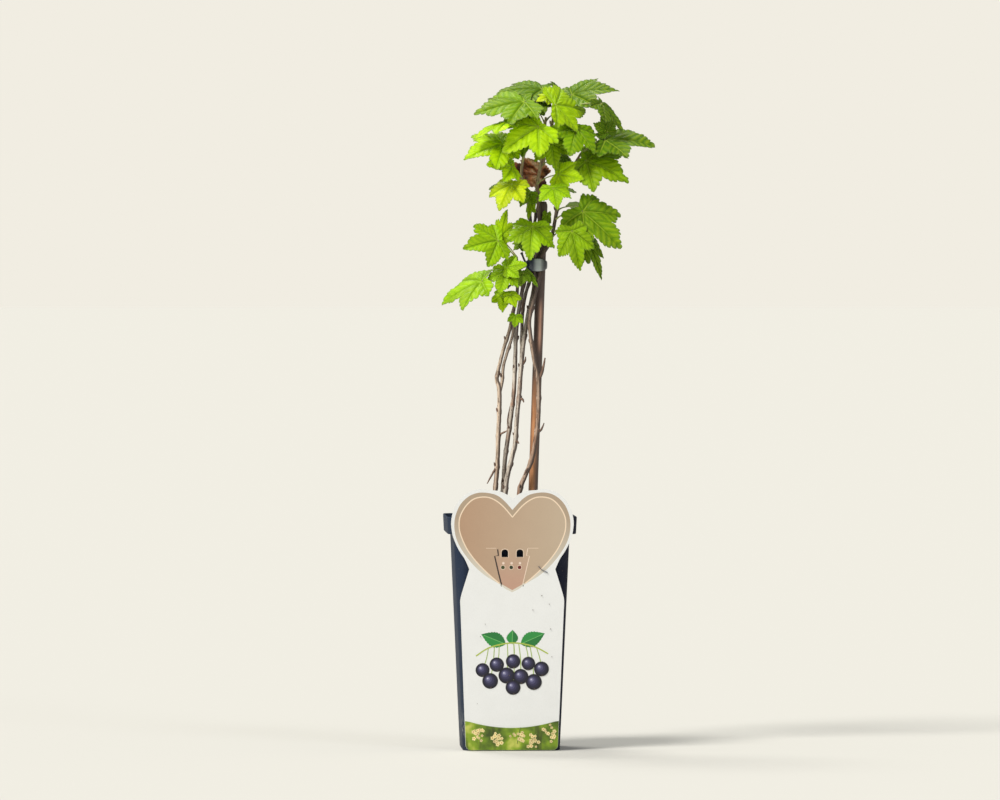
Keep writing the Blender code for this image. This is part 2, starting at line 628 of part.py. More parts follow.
def make_label(collection, material):
    """The card with its windows and slits, leaning on the collar and hung on it by a folded strap."""
    lean = atan2(CARD_FOOT.y - CARD_AT_COLLAR.y, CARD_AT_COLLAR.z - CARD_FOOT.z)
    curve = bpy.data.curves.new("label", "CURVE")
    curve.dimensions = "2D"
    curve.fill_mode = "BOTH"
    curve.extrude = CARD_THICKNESS / 2
    half = card_half()
    add_outline(curve, half + [(-x, height) for x, height in reversed(half[1:])])
    middle = (WINDOW_INNER + WINDOW_OUTER) / 2
    head = (WINDOW_OUTER - middle, WINDOW_TOP - WINDOW_SHOULDER)
    window = [(WINDOW_INNER, WINDOW_BASE), (WINDOW_OUTER, WINDOW_BASE)]
    window += arc((middle, WINDOW_SHOULDER), head, 0, 180, 6)
    for hole in (window, in_metres(SLIT)):
        add_outline(curve, hole)
        add_outline(curve, [(-x, height) for x, height in hole])
    label = bpy.data.objects.new("label", curve)
    label.location = CARD_FOOT
    label.rotation_euler = (pi / 2 + lean, 0, 0)
    collection.objects.link(label)
    label = bake(label)
    pieces = new_collection("label_pieces")
    add_hanger(pieces)
    label = fuse(label, pieces)
    label.data.materials.append(material)


# Tie

def rounded_oblong(half_length, half_depth):
    points = []
    for i in range(TIE_POINTS):
        angle = 2 * pi * i / TIE_POINTS
        x = copysign(abs(cos(angle)) ** (2 / TIE_SQUARENESS), cos(angle))
        y = copysign(abs(sin(angle)) ** (2 / TIE_SQUARENESS), sin(angle))
        points.append((half_length * x, half_depth * y))
    return points


def make_tie(collection, material):
    """A band pulled round the stake and the canes, with three tails."""
    curve = bpy.data.curves.new("tie", "CURVE")
    curve.dimensions = "2D"
    curve.fill_mode = "BOTH"
    curve.extrude = TIE_HEIGHT / 2
    for grow in (TIE_BAND, 0.0):
        add_outline(curve, rounded_oblong(TIE_HALF_LENGTH + grow, TIE_HALF_DEPTH + grow))
    tie = bpy.data.objects.new("tie", curve)
    tie.location = TIE_CENTRE
    collection.objects.link(tie)
    tie = bake(tie)
    pieces = new_collection("tie_pieces")
    for knots in TIE_TAILS:
        points = [Vector((*knot, TIE_TAIL_RADIUS)) * MM for knot in knots]
        tube("tail", smooth_path(points, TIE_TAIL_SPACING), pieces, 1)
    tie = fuse(tie, pieces)
    shade_smooth(tie)
    tie.data.materials.append(material)


def main():
    clear_scene()
    parts = new_collection("potted_blackcurrant_bush")
    cutters = new_collection("cutters")
    make_pot(parts, cutters, make_material("pot", (0.018, 0.024, 0.038), 0.42))
    make_soil(parts, cutters, make_material("soil", (0.035, 0.022, 0.014), 0.95))
    make_stake(parts, make_material("stake", (0.16, 0.07, 0.035), 0.6))
    make_label(parts, make_material("label", (0.82, 0.81, 0.78), 0.55))
    make_tie(parts, make_material("tie", (0.02, 0.026, 0.032), 0.35))
    for name, stems in CANES.items():
        make_cane(name, stems, parts, make_material(name, (0.24, 0.48, 0.03), 0.5))
    make_dry_leaf(parts, make_material("dry_leaf", (0.12, 0.04, 0.018), 0.8))


main()
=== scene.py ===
"""Looks of the potted blackcurrant bush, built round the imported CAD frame, in metres."""

from collections import namedtuple
from math import atan2, copysign, cos, exp, pi, radians, sin, tau
import random

import bmesh
import bpy
from mathutils import Euler, Matrix, Vector, noise
from mathutils.geometry import tessellate_polygon
import numpy as np


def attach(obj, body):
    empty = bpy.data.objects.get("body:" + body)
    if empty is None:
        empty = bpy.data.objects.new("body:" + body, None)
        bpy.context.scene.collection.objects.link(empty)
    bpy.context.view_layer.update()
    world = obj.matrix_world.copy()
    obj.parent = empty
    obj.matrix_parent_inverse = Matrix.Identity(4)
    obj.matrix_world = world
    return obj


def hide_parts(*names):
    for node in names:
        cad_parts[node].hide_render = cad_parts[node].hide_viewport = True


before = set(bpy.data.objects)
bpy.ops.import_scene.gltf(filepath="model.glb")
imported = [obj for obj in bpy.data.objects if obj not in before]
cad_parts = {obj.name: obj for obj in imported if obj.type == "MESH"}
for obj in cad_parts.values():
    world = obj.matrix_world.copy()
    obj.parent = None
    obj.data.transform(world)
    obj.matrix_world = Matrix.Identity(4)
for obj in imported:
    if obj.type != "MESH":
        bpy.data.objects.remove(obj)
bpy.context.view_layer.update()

MM = 0.001

SHARP_ANGLE = radians(50)
WELD = 0.0005 * MM

# Camera and stage: azimuths and elevations in degrees, 0 the label's side, growing to the right
CAMERA_AZIMUTH = -2.4
CAMERA_ELEVATION = 1.0
CAMERA_DISTANCE = 8.0
CAMERA_TARGET = Vector((-8.8, 0, 321.0)) * MM
FRAME_WIDTH = 0.922
SENSOR_WIDTH = 36.0
BACKDROP = (241, 237, 226)

AMBIENT = 0.42
AMBIENT_COLOUR = (236, 236, 232)
SUN_ANGLE = radians(20)
SUN_DISTANCE = 3
SUNS = (
    ("key_sun", -46, 48, 2.7, (1.0, 0.97, 0.9)),
    ("fill_sun", 38, 24, 0.45, (0.94, 0.97, 1.0)),
    ("back_sun", -150, 62, 1.2, (1.0, 0.98, 0.9)),
)
FLOOR_RADIUS = 60.0
FLOOR_POINTS = 96
FLOOR_COLOUR = (209, 208, 204)

# Pot and soil: each ring of the pot's skin is half its width, its height and its corner radius
POT_PROFILE = (
    (43.2, 0, 8.4), (44.2, 0.2, 9.4), (44.75, 0.9, 10), (46.15, 32, 10), (49.05, 100, 10), (51.2, 150, 10),
    (53.0, 192, 10), (53.3, 198.2, 10), (53.7, 198.9, 10), (54.5, 199, 10), (58.1, 199, 9.8),
    (58.7, 199.2, 9.9), (58.95, 199.9, 10), (59.3, 207, 10), (59.6, 213.6, 10), (59.5, 214.5, 9.9),
    (59.1, 215, 9.5), (58.6, 214.9, 9), (58.25, 214.3, 8.7), (58.15, 213.4, 8.6), (57.5, 202, 8.5),
    (57.3, 200.9, 8.4), (56.6, 200.5, 8.2), (52.7, 200.5, 8.9), (52.05, 200.2, 8.6), (51.85, 199.4, 8.5),
    (49.6, 150, 8.5), (47.5, 100, 8.5), (43.5, 4, 8.4), (43.0, 2.8, 8), (42.2, 2.5, 7.4),
)
RIM_HEIGHT = 215 * MM
CORNER_STEPS = 8
DRAIN_RADIUS = 6
DRAIN_OFFSET = 30
DRAIN_POINTS = 32
SOIL_TOP = 198 * MM
SOIL_SIDE = ((43.0, 2.8), (47.2, 100), (51.4, 196.4), (51.4, 197.3))
SOIL_CORNER = 8.5
SOIL_STEP = 2.2
SOIL_RINGS = 30
SOIL_TONE = (58, 44, 34)
CRUMBS = 330
CRUMB_SIZES = (0.7, 2.0)
CRUMB_TONE = (60, 45, 34)
PALE_SHARE = 0.06
PALE_TONE = (214, 206, 190)
BARK_SHARE = 0.25
BARK_TONE = (112, 78, 50)

# Stake and tie
STAKE_FOOT = (15.0, 5.6, 35)
STAKE_HEAD = (31.1, 4.6, 504)
STAKE_RADIUS = 4.4
STAKE_RINGS = 160
STAKE_SIDES = 24
STAKE_CHAMFER = 0.32
TIE_CENTRE = (24.9, 2.5, 445.5)
TIE_HALF_LENGTH = 9.2
TIE_HALF_DEPTH = 7.4
TIE_SQUARENESS = 4
TIE_POINTS = 64
TIE_SECTION = (
    (0.05, 5.2), (0.12, 5.6), (0.3, 5.8), (0.5, 5.5), (0.68, 4.7), (0.82, 2.8), (0.87, 0), (0.82, -2.8),
    (0.68, -4.7), (0.5, -5.5), (0.3, -5.8), (0.12, -5.6), (0.05, -5.2), (0.0, 0), (0.05, 5.2),
)
TIE_TAPER = 0.4
TIE_TAIL_RADIUS = 0.95
TIE_TAIL_SIDES = 12
TIE_TAIL_SPACING = 0.8 * MM
TIE_TAIL_ENDS = (1.1, 1.5, 1.45, 0.9)
TIE_TAIL_TONE = (24, 27, 30)
TIE_TAILS = (
    ((15.6, -3.5, 447), (13.4, -6.5, 450), (10.6, -8.5, 457)),
    ((15.8, -4.2, 445), (12.4, -8.2, 443.4), (7.6, -9.6, 440.8)),
    ((15.8, -4, 442), (9.4, -8.4, 434.4), (-2.9, -9.4, 424.1)),
)

# Label in millimetres: x to the right and height up its face
CARD_THICKNESS = 0.8
INK = 0.004
CARD_WHITE = (231, 232, 232)
CARD_FOOT = (0, -47.4, 0.6)
CARD_AT_COLLAR = (0, -60.7, 199)
HEART_HALF_WIDTH = 56.2
HEART_WIDEST = 208
HEART_LOBE_OFFSET = 28.5
HEART_TOP = 240.5
HEART_NOTCH = ((0, 232), (6, 236), (13, 239))
HEART_SIDE = ((56.2, 208), (55.0, 199), (52.6, 192), (48.7, 184), (43.5, 176), (39.5, 167))
CARD_SHOULDER = ((39.5, 166.6), (43.1, 155), (46.4, 144), (47.6, 138), (47.4, 131))
CARD_FOOT_HALF_WIDTH = 42.5
CARD_CORNER = 5
CARD_CORNER_CENTRE = (CARD_FOOT_HALF_WIDTH - CARD_CORNER, CARD_CORNER)
WINDOW_HALF = 3
WINDOW_MIDDLE = 6.9
WINDOW_BASE = 178
WINDOW_SHOULDER = 182.5
WINDOW_TOP = 185
WINDOW_RIM = (
    (-3.4, 177.8), (-3.4, 182.6), (-2.6, 184.8), (0, 185.6), (2.6, 184.8), (3.4, 182.6),
    (3.4, 177.8),
)
SLIT = ((16, 178), (16.9, 178), (10.3, 151), (9.4, 151))
# A painted shadow in the gap of the left slit, then a pale line along the right slit
SLIT_SHADOW = ((-13.5, 185.2), (-12.7, 179.4), (-16.2, 179), (-12.5, 163), (-9.8, 152.6))
SLIT_PALE = ((14.1, 186), (13, 179.4), (15.7, 179), (12.2, 164), (9.6, 153.1))
TONGUE = ((0, 147.6), (9.6, 153.1), (12.2, 164), (15.7, 179), (13, 179.4), (14, 186))
BARS_AT = (-24.2, 14.5)
BAR_HEIGHT = 186.2
BAR_LENGTH = 9.4
DOTS_AT = (-8.6, -1.0, 6.6)
DOT_HEIGHT = 168.5
DOT_COLOURS = ((58, 66, 30), (40, 48, 26), (104, 26, 22))
HEART_PRINT = (
    (0, 221.4), (8.6, 230.8), (16.8, 235.8), (29.1, 237.4), (39, 234.5), (47.2, 227.1), (51.8, 217.3),
    (53.2, 208.2), (52.2, 198.3), (48.5, 188.5), (41.5, 177.8), (33.2, 168.3), (23.4, 160.1), (11, 152.7),
    (6.5, 149), (0, 145.7),
)
HEART_LINE = (
    (0, 214.8), (8.6, 224.7), (16.8, 230.9), (25, 233.3), (34.9, 231.7), (42.3, 225.5), (47.6, 216.4),
    (48.9, 208.2), (47.6, 199.2), (42.3, 186.8), (34.9, 176.1), (26.7, 167.1), (18.4, 159.3), (11.9, 153.9),
)
BERRY_SHADES = (
    (1.0, 0.0, (8, 6, 20)), (0.9, 0.02, (16, 14, 36)), (0.76, 0.07, (28, 26, 54)), (0.6, 0.13, (46, 43, 76)),
    (0.42, 0.2, (72, 70, 106)), (0.24, 0.27, (116, 114, 150)), (0.1, 0.32, (190, 190, 210)),
)
PRINTED_TWIG = ((-33, 87), (-20, 95), (0, 99), (19, 96), (33, 89))
PRINTED_BERRIES = (
    (-27, 74, 6.4), (-14, 79, 6.6), (-20, 64, 7.2), (1, 82, 6.6), (-5, 69, 7.4), (8, 68, 7.0), (1, 58, 6.8),
    (15, 80, 6.2), (27, 75, 6.8), (20, 63, 7.3),
)
PRINTED_LEAVES = ((-6, 98, 158, 24, 6.5), (8, 98, 24, 24, 6.5), (0, 98, 88, 13, 5.0))
BAND_HEIGHT = 20.6
BAND_DIP = 6.3
CLUSTERS = ((-31, 15), (-14, 9), (6, 13), (21, 8), (35, 16))
BLOSSOMS_IN_CLUSTER = 15
BLOSSOM_TONE = (238, 220, 158)
BLOSSOM_MIDDLE_TONE = (192, 152, 84)
SPECK_TONE = (92, 78, 66)
SPECKS = 10
THREAD = ((24.1, 169.6), (27, 166.5), (32.4, 163.8))
STRAP = ((-61.7, 215.3), (-61.7, 216.1), (-56.3, 216.1), (-56.3, 203), (-57.1, 203), (-57.1, 215.3))
STRAP_HALF_WIDTH = 13

# Canes
CANE_ROOT_DEPTH = 138
STEM_SPACING = 2.5 * MM
STEM_SIDES = 12
TWIG_SIDES = 8
TWIG_SPACING = 1.2 * MM
NODE_SWELLING = 0.26
NODE_LENGTH = 1.5 * MM
BUD_SPACING = 24 * MM
BUD_LENGTHS = (3.2, 4.8)
BUD_SHAPE = ((0, 0.186), (0.25, 0.2604), (0.5, 0.248), (0.75, 0.1612), (0.92, 0.0744), (1.0, 0.0248))
PETIOLE_RADIUS = 0.62
PETIOLE_STEPS = 14
PETIOLE_SIDES = 7

# Leaves
BLADE_HALF_THICKNESS = 0.16 * MM
BLADE_OUTLINE = (
    (0, 1.00), (4, 0.955), (9, 0.86), (16, 0.80), (28, 0.61),
    (37, 0.71), (44, 0.75), (51, 0.82), (56, 0.79), (61, 0.72), (69, 0.66), (80, 0.53),
    (100, 0.58), (128, 0.44), (180, 0.12),
)
LOOSE_ANGLE = 2.2
LOOSE_REACH = 0.05
RINGS = (*(round(0.03 + 0.06 * i, 2) for i in range(15)), 0.92, 0.97, 1.0)
MAIN_VEINS = (0, 51, 100)
SIDE_VEIN_ANGLE = radians(44)
SIDE_VEIN_SPACING = 0.15
VEIN_WANDER = 0.3
TOOTH_LENGTH = 0.11
TOOTH_PROFILE = ((0.0, -0.8), (0.25, 0.5), (0.6, 1.0), (0.88, 0.7))
TOOTH_DEPTH = 0.026
PLEAT_HEIGHT = 0.018
GROOVE_DEPTH = 0.016
GROOVE_WIDTH = 0.022
FOLD = 0.34
# How much lighter and darker the half-lobes are painted, as painted light and shade on their folds
FOLD_LIGHT_STEP = 0.16

# Leaf colours, upper side: each tone is partly the leaf's own colour and partly painted light, brighter for
# leaves in the light and darker for leaves in shade
DARK, MID, BRIGHT, LIME, GOLD = 0, 1, 2, 3, 4
VEIN_SHARES = (0.62, 0.55, 0.45, 0.34, 0.3)
LEAF_TONES = ((82, 118, 12), (114, 154, 6), (148, 190, 6), (184, 224, 8), (206, 226, 10))

# Stem routes in millimetres, each point with the stem's radius there
STEMS = {
    "left": (
        (-14.5, -3, CANE_ROOT_DEPTH, 2.3), (-14.5, -3, 206, 2.3),
        (-12.9, -3, 242, 2.2), (-11.3, -3.5, 262, 2.1),
        (-10.5, -4, 290, 2.1), (-9.7, -4, 307, 2.0), (-9.6, -4.5, 331, 2.1), (-12.0, -5.5, 341, 1.8),
        (-8.6, -6, 357, 1.7), (-4.9, -6, 371, 1.7), (0.2, -6, 387, 1.7), (3.4, -5.5, 404, 1.6),
        (6.2, -5, 414, 1.6), (7.2, -5, 427, 1.5), (7.4, -4.6, 440, 1.4), (6.4, -4.6, 453, 1.1),
    ),
    "left_fork": (
        (-9.4, -4.3, 327, 1.7), (-6.9, -4, 339, 1.5), (-5.8, -4, 352, 1.4), (-2, -4, 366, 1.4),
        (2.4, -4.4, 380, 1.3), (3.6, -5, 393, 1.2), (3.4, -5.5, 403, 1.0),
    ),
    "inner": (
        (-9, 4, CANE_ROOT_DEPTH, 2.3), (-9, 4, 206, 2.3),
        (-5.5, 3, 244, 2.2), (-4, 3, 267, 2.1),
        (-0.6, 2, 291, 2.1), (3.6, 1.2, 324, 2.0), (4.9, 1, 347, 2.0), (5.5, 0.8, 366, 1.9),
        (6.2, 0, 385, 1.9), (8.7, -1.6, 405, 1.9), (13, -2, 428, 1.8), (18.2, -0.2, 440, 1.8),
        (18.4, 0, 451, 1.8), (20, 0.6, 465, 1.8), (19.3, 0, 486, 1.7), (15.6, -2, 511, 1.6),
        (11, -3, 529, 1.5), (13.8, -3, 552, 1.4), (16.6, 0, 575, 1.3), (18.4, 2, 591, 1.1),
    ),
    "centre": (
        (-4.5, -4.5, CANE_ROOT_DEPTH, 2.3), (-4.5, -4.5, 206, 2.3),
        (-3.4, -4.5, 242, 2.2), (1.8, -4, 267, 2.2),
        (5, -4, 281, 2.2), (6.9, -4, 308, 2.1), (8.7, -3.5, 325, 2.1), (10.1, -3.5, 347, 2.1),
        (12, -3, 366, 2.0), (14.4, -2.6, 385, 2.0), (16.8, -1.6, 399, 1.9), (20.2, -1.2, 413, 1.9),
        (22.8, -0.8, 428, 1.8), (23.3, -0.3, 440, 1.8), (23.6, -0.6, 452, 1.8), (26.4, -2.8, 466, 1.7),
        (27.3, -3.2, 492, 1.7), (25.2, -2.4, 515, 1.6), (27.6, -1, 532, 1.5), (32.2, 0, 552, 1.4),
        (38.6, 1, 573, 1.3), (42, 2, 589, 1.1),
    ),
    "rear": (
        (10.8, -3.2, 358, 1.7), (11.2, 0.6, 372, 1.6), (11.6, 3, 388, 1.6), (12.4, 3.8, 404, 1.6),
        (15.4, 4.6, 420, 1.6), (19.6, 4.9, 433, 1.5), (20.7, 4.8, 442, 1.5), (20.8, 5.6, 453, 1.5),
        (21.2, 9.6, 466, 1.5), (24, 13, 486, 1.5), (29, 14.4, 510, 1.4), (32, 15.4, 535, 1.3),
        (33, 15.4, 560, 1.2), (34, 14, 582, 1.0),
    ),
    "right": (
        (7.5, -3, CANE_ROOT_DEPTH, 2.3), (7.5, -3, 206, 2.3),
        (9.4, -3.5, 237, 2.3), (14.2, -4.5, 251, 2.2),
        (20.4, -5.4, 267, 2.2), (24.6, -6, 290, 2.2), (26.4, -6, 308, 2.1), (26.4, -6, 338, 2.1),
        (22.4, -7, 358, 1.9), (18.8, -7.6, 382, 1.8), (18, -7.6, 394, 1.8), (21, -7.4, 409, 1.8),
        (25.6, -5, 427, 1.8), (28.8, -2.4, 439, 1.8), (29.4, -2.4, 452, 1.8), (38, -3, 469, 1.7),
        (42.3, -3, 489, 1.6), (45, -2, 502, 1.6), (51.5, 0, 520, 1.4), (59.8, 2, 538, 1.3),
        (68, 3, 551, 1.1),
    ),
}

# Bare side twigs and stubs in millimetres: the stem that carries each, then its points and end radii
TWIGS = {
    "left": (
        ((-11.4, -3.4, 261), (-16, -5, 253), (-21, -6, 244), 0.8),
        ((-10.5, -4, 289), (-6, -7, 291), (-2.5, -8, 293), 0.7),
    ),
    "inner": (
        ((-0.6, 2, 291), (-1.2, 6, 303), (2.6, 9, 322), 0.7),
    ),
    "centre": (
        ((5.1, -4, 282), (6.6, -7, 283), (8.4, -8.4, 281), 0.9),
        ((8.4, -3.6, 321), (11.5, -6, 322), (12.8, -7.6, 319), 0.9),
        ((10.8, -3.4, 352), (14.0, -5.5, 357), (14.6, -6.4, 361), 0.8),
    ),
    "right": (
        ((26.4, -6, 338), (30, -8, 348), (32.4, -8.6, 360), 1.1),
        ((24.8, -6, 290), (29, -8, 294), (31.5, -8.6, 300), 0.8),
        ((17.4, -5, 259), (15.2, -8, 256), (13.2, -9, 252), 0.8),
    ),
}

CANES = {
    "cane_left": ("left", "left_fork"),
    "cane_inner": ("inner",),
    "cane_centre": ("centre", "rear"),
    "cane_right": ("right",),
}

# Leaves of each stem in millimetres: the colour, the height where the stalk leaves the stem, the top of the
# stalk, the tip of the middle lobe, the way the upper side faces, then how far the tip and the sides bend
# down and how wide the blade is opened
Leaf = namedtuple("Leaf", "tone at junction tip face droop side spread", defaults=(0.22, 0.25, 1.0))
LEAVES = {
    "left": (
        (BRIGHT, 450, (-11, -14, 468), (-42, -25, 461), (-0.15, -0.9, 0.35)),
        (LIME, 452, (-8, -6, 472), (-3, -9, 496), (-0.5, -0.8, -0.1), 0.15, 0.3, 0.6),
        (BRIGHT, 438, (-4, -13, 440), (-10, -20, 419), (-0.15, -0.9, 0.3)),
        (BRIGHT, 446, (-3, -15, 443), (15, -17, 446), (-0.1, -0.85, 0.5)),
        (BRIGHT, 432, (-26.5, -18, 431), (-62.5, -6, 409), (-0.55, -0.38, 0.73)),
        (LIME, 420, (-4.7, -12, 419), (-7.5, -18, 402.5), (-0.1, -0.9, 0.35)),
        (LIME, 417, (0, -15, 418), (5, -19, 406), (0.2, -0.9, 0.3)),
        (BRIGHT, 398, (5.5, -11, 398.5), (4, -15, 388), (0, -0.9, 0.3)),
        (DARK, 436, (12, -14, 438), (9.5, -18, 426), (0.1, -0.95, 0.2)),
        (MID, 425, (0, 16, 438), (-10, 36, 430), (-0.3, 0.4, 0.85)),
    ),
    "inner": (
        (DARK, 588, (31, 10, 608), (-12, 6, 601), (-0.05, -0.38, 0.92), 0.3),
        (MID, 575, (13, -19, 596), (-33, -26, 583), (-0.2, -0.5, 0.85)),
        (LIME, 560, (-3, -29, 577), (-34, -34, 560), (-0.55, -0.2, 0.82), 0.3),
        (LIME, 545, (-6, -20, 557), (-42, -32, 544), (-0.25, -0.7, 0.65)),
        (LIME, 562, (25, -30, 573), (-8, -44, 550), (-0.05, -0.8, 0.6)),
        (LIME, 525, (1, -24, 536), (-23, -38, 537), (0.1, -0.75, 0.65)),
        (GOLD, 512, (1, -26, 520), (-11, -38, 495), (-0.45, -0.8, 0.4)),
        (MID, 540, (14, -16, 557), (-2, -18, 546), (-0.3, -0.5, 0.8)),
        (MID, 502, (18, -10, 512), (9, -14, 499), (-0.5, -0.8, 0.1)),
        (BRIGHT, 495, (20, -13, 503), (16.5, -18, 487), (-0.6, -0.8, 0.1), 0.1, 0.2, 0.5),
        (BRIGHT, 474, (20.5, -16, 481), (17.5, -30, 451), (0, -0.9, 0.42)),
        (MID, 458, (11, -9, 465), (3, -13, 459), (-0.3, -0.8, 0.5)),
        (MID, 500, (2, 22, 522), (-10, 44, 513), (-0.3, 0.5, 0.8)),
        (DARK, 574, (29, -11, 593), (16, -23, 579), (-0.5, -0.7, 0.55), 0.22, 0.25, 0.75),
        (GOLD, 584, (36, -12, 600), (24, -18, 596), (0, -0.6, 0.8)),
    ),
    "centre": (
        (LIME, 584, (41.5, -24, 593), (69.5, 3, 586), (0.66, -0.54, 0.53)),
        (MID, 587, (50, 18, 604), (37, 30, 613), (0.4, 0.4, 0.8)),
        (DARK, 586, (58, 10, 603), (101, 6, 607), (0.05, -0.5, 0.87), 0.3),
        (DARK, 583, (84, -17, 594), (103, -22, 567), (0.7, -0.55, 0.5), 0.25, 0.3, 0.6),
        (MID, 563, (61, -16, 572), (53, -38, 545), (0.3, -0.7, 0.6)),
        (BRIGHT, 546, (37, -20, 558), (41, -30, 533), (-0.1, -0.95, 0.2)),
        (DARK, 535, (48, 0, 546), (54, -6, 531), (0.6, -0.7, 0.2)),
        (LIME, 520, (44, -19, 529), (67, -25, 524), (0.1, -0.95, 0.3)),
        (BRIGHT, 505, (39, -31, 516), (42, -44, 497), (0, -0.8, 0.55)),
        (MID, 480, (34.5, -4, 492), (33, -7, 478), (0.2, -0.95, 0.2), 0.1, 0.2, 0.5),
        (DARK, 428, (16, -9, 438.5), (25.5, -13, 425), (0.3, -0.9, 0.3), 0.1, 0.2, 0.4),
    ),
    "rear": (
        (MID, 505, (42, 32, 518), (48, 58, 508), (0.1, 0.5, 0.85)),
        (MID, 550, (20, 32, 566), (14, 60, 556), (-0.1, 0.5, 0.85)),
        (MID, 545, (60, 28, 566), (72, 52, 557), (0.2, 0.5, 0.85)),
        (MID, 575, (20, 28, 598), (8, 52, 590), (-0.15, 0.4, 0.9)),
        (MID, 578, (58, 28, 596), (76, 50, 594), (0.15, 0.4, 0.9)),
    ),
    "right": (
        (DARK, 546, (88, -6, 561), (133, -10, 556), (-0.1, -0.45, 0.9), 0.25),
        (DARK, 547, (90, -7, 568), (85, -10, 588), (0.3, -0.85, -0.3), 0.1, 0.2, 0.8),
        (BRIGHT, 530, (70, -8, 542), (108, -20, 523), (0.2, -0.75, 0.6)),
        (MID, 487, (66.5, -22, 495), (101, -29, 461), (0.2, -0.9, 0.35), 0.22, 0.25, 0.8),
        (BRIGHT, 470, (56, -33, 476.5), (63.5, -37, 441.5), (-0.1, -0.95, 0.2), 0.22, 0.25, 0.72),
        (MID, 476, (69, -16, 473), (84, -20, 432), (0.5, -0.8, 0.3), 0.2, 0.25, 0.45),
        (MID, 495, (70, 22, 502), (84, 46, 490), (0.3, 0.5, 0.8)),
    ),
}

DRY_LEAF = Leaf(DARK, 0, (28.5, 6.4, 527.5), (-5.5, 5.6, 536.5), (0.1, -0.95, 0.3), 0.16, 0.16, 0.62)
DRY_CRUMPLE = 0.085


# Small helpers

def srgb(red, green, blue):
    """A colour of 0 to 255 in each channel, as the linear colour that shaders use."""
    linear = []
    for channel in (red, green, blue):
        share = channel / 255
        linear.append(share / 12.92 if share <= 0.04045 else ((share + 0.055) / 1.055) ** 2.4)
    return (*linear, 1.0)


def toned(colour, tone):
    """A colour of 0 to 255 made darker or lighter."""
    return tuple(min(255, channel * tone) for channel in colour)


def share_between(value, low, high):
    """How far a value has come from low to high, held between 0 and 1."""
    return min(1, max(0, (value - low) / (high - low)))


def mixed(a, b, share):
    """A colour part of the way from one linear colour to another."""
    return tuple(x + (y - x) * share for x, y in zip(a, b))


def in_metres(points, *more):
    """Points in millimetres as vectors in metres, each with the same further components."""
    return [Vector((*point, *more)) * MM for point in points]


def add_object(name, data):
    obj = bpy.data.objects.new(name, data)
    bpy.context.scene.collection.objects.link(obj)
    return obj


def wall_faces(rings, count):
    """Faces between each ring of count points and the next."""
    faces = []
    for start in range(0, (rings - 1) * count, count):
        for i in range(count):
            a, b = start + i, start + (i + 1) % count
            faces.append((a, b, b + count, a + count))
    return faces


# Pieces are gathered as plain lists, and made into one object at the end

class Soup:
    """Vertices, faces and per-vertex values of one piece."""

    def __init__(self):
        self.verts = []
        self.faces = []
        self.materials = []
        self.values = {}

    def add(self, verts, faces, material=0, **values):
        """More of the piece; a list gives a material for each face, or a value for each vertex."""
        start = len(self.verts)
        self.verts.extend(tuple(vert) for vert in verts)
        self.faces.extend(tuple(start + i for i in face) for face in faces)
        self.materials.extend(material if isinstance(material, list) else [material] * len(faces))
        for name, value in values.items():
            column = self.values.setdefault(name, [])
            given = value if isinstance(value, list) else [value] * len(verts)
            self.pad(column, start, isinstance(given[0], tuple))
            column.extend(given)

    @staticmethod
    def pad(column, count, wide):
        """Fill a column up to count with nothing: black for colours, zero for numbers."""
        column.extend([(0.0, 0.0, 0.0, 1.0) if wide else 0.0] * (count - len(column)))

    def make(self, name, replaced, *materials, weld=False):
        """One object in place of a CAD node."""
        mesh = bpy.data.meshes.new(name)
        mesh.from_pydata(self.verts, [], self.faces)
        for material in materials:
            mesh.materials.append(material)
        mesh.polygons.foreach_set("material_index", self.materials)
        for label, column in self.values.items():
            wide = isinstance(column[0], tuple)
            self.pad(column, len(self.verts), wide)
            layer = mesh.attributes.new(label, "FLOAT_COLOR" if wide else "FLOAT", "POINT")
            layer.data.foreach_set("color" if wide else "value", np.array(column, dtype=float).ravel())
        if weld:
            bm = bmesh.new()
            bm.from_mesh(mesh)
            bmesh.ops.remove_doubles(bm, verts=bm.verts, dist=WELD)
            bmesh.ops.recalc_face_normals(bm, faces=bm.faces)
            bm.to_mesh(mesh)
            bm.free()
        mesh.validate()
        mesh.shade_smooth()
        mesh.set_sharp_from_angle(angle=SHARP_ANGLE)
        finish_piece(add_object(name, mesh), replaced)


def finish_piece(obj, node):
    """Ride on the frame in place of a CAD node."""
    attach(obj, "root")
    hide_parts(node)


# Shader helpers: where colours are given, three channels of 0 to 255 stand for a plain colour

def new_material(name, roughness, **sockets):
    """A material and its node tree."""
    material = bpy.data.materials.new(name)
    material.use_nodes = True
    shader = material.node_tree.nodes["Principled BSDF"]
    for label, value in {"Roughness": roughness, **sockets}.items():
        shader.inputs[label.replace("_", " ")].default_value = value
    return material, material.node_tree


def node(tree, kind, inputs=(), **settings):
    """A shader node; each input is a socket to link or a plain value."""
    made = tree.nodes.new("ShaderNode" + kind)
    for label, value in settings.items():
        setattr(made, label, value)
    for i, value in enumerate(inputs):
        feed(made.inputs[i], value)
    return made


def feed(socket, value):
    """Link a socket to another one, or set it to a plain value."""
    if isinstance(value, bpy.types.NodeSocket):
        socket.id_data.links.new(value, socket)
    elif value is not None:
        socket.default_value = srgb(*value) if socket.type == "RGBA" and len(value) == 3 else value


def tree_of(values):
    return next(value.id_data for value in values if isinstance(value, bpy.types.NodeSocket))


def maths(operation, *inputs):
    return node(tree_of(inputs), "Math", inputs, operation=operation).outputs[0]


def times(*inputs):
    return maths("MULTIPLY", *inputs)


def spread(value, low, high, to_low=0.0, to_high=1.0):
    """A value mapped from one range to another and held inside it."""
    return node(value.id_data, "MapRange", (value, low, high, to_low, to_high)).outputs[0]


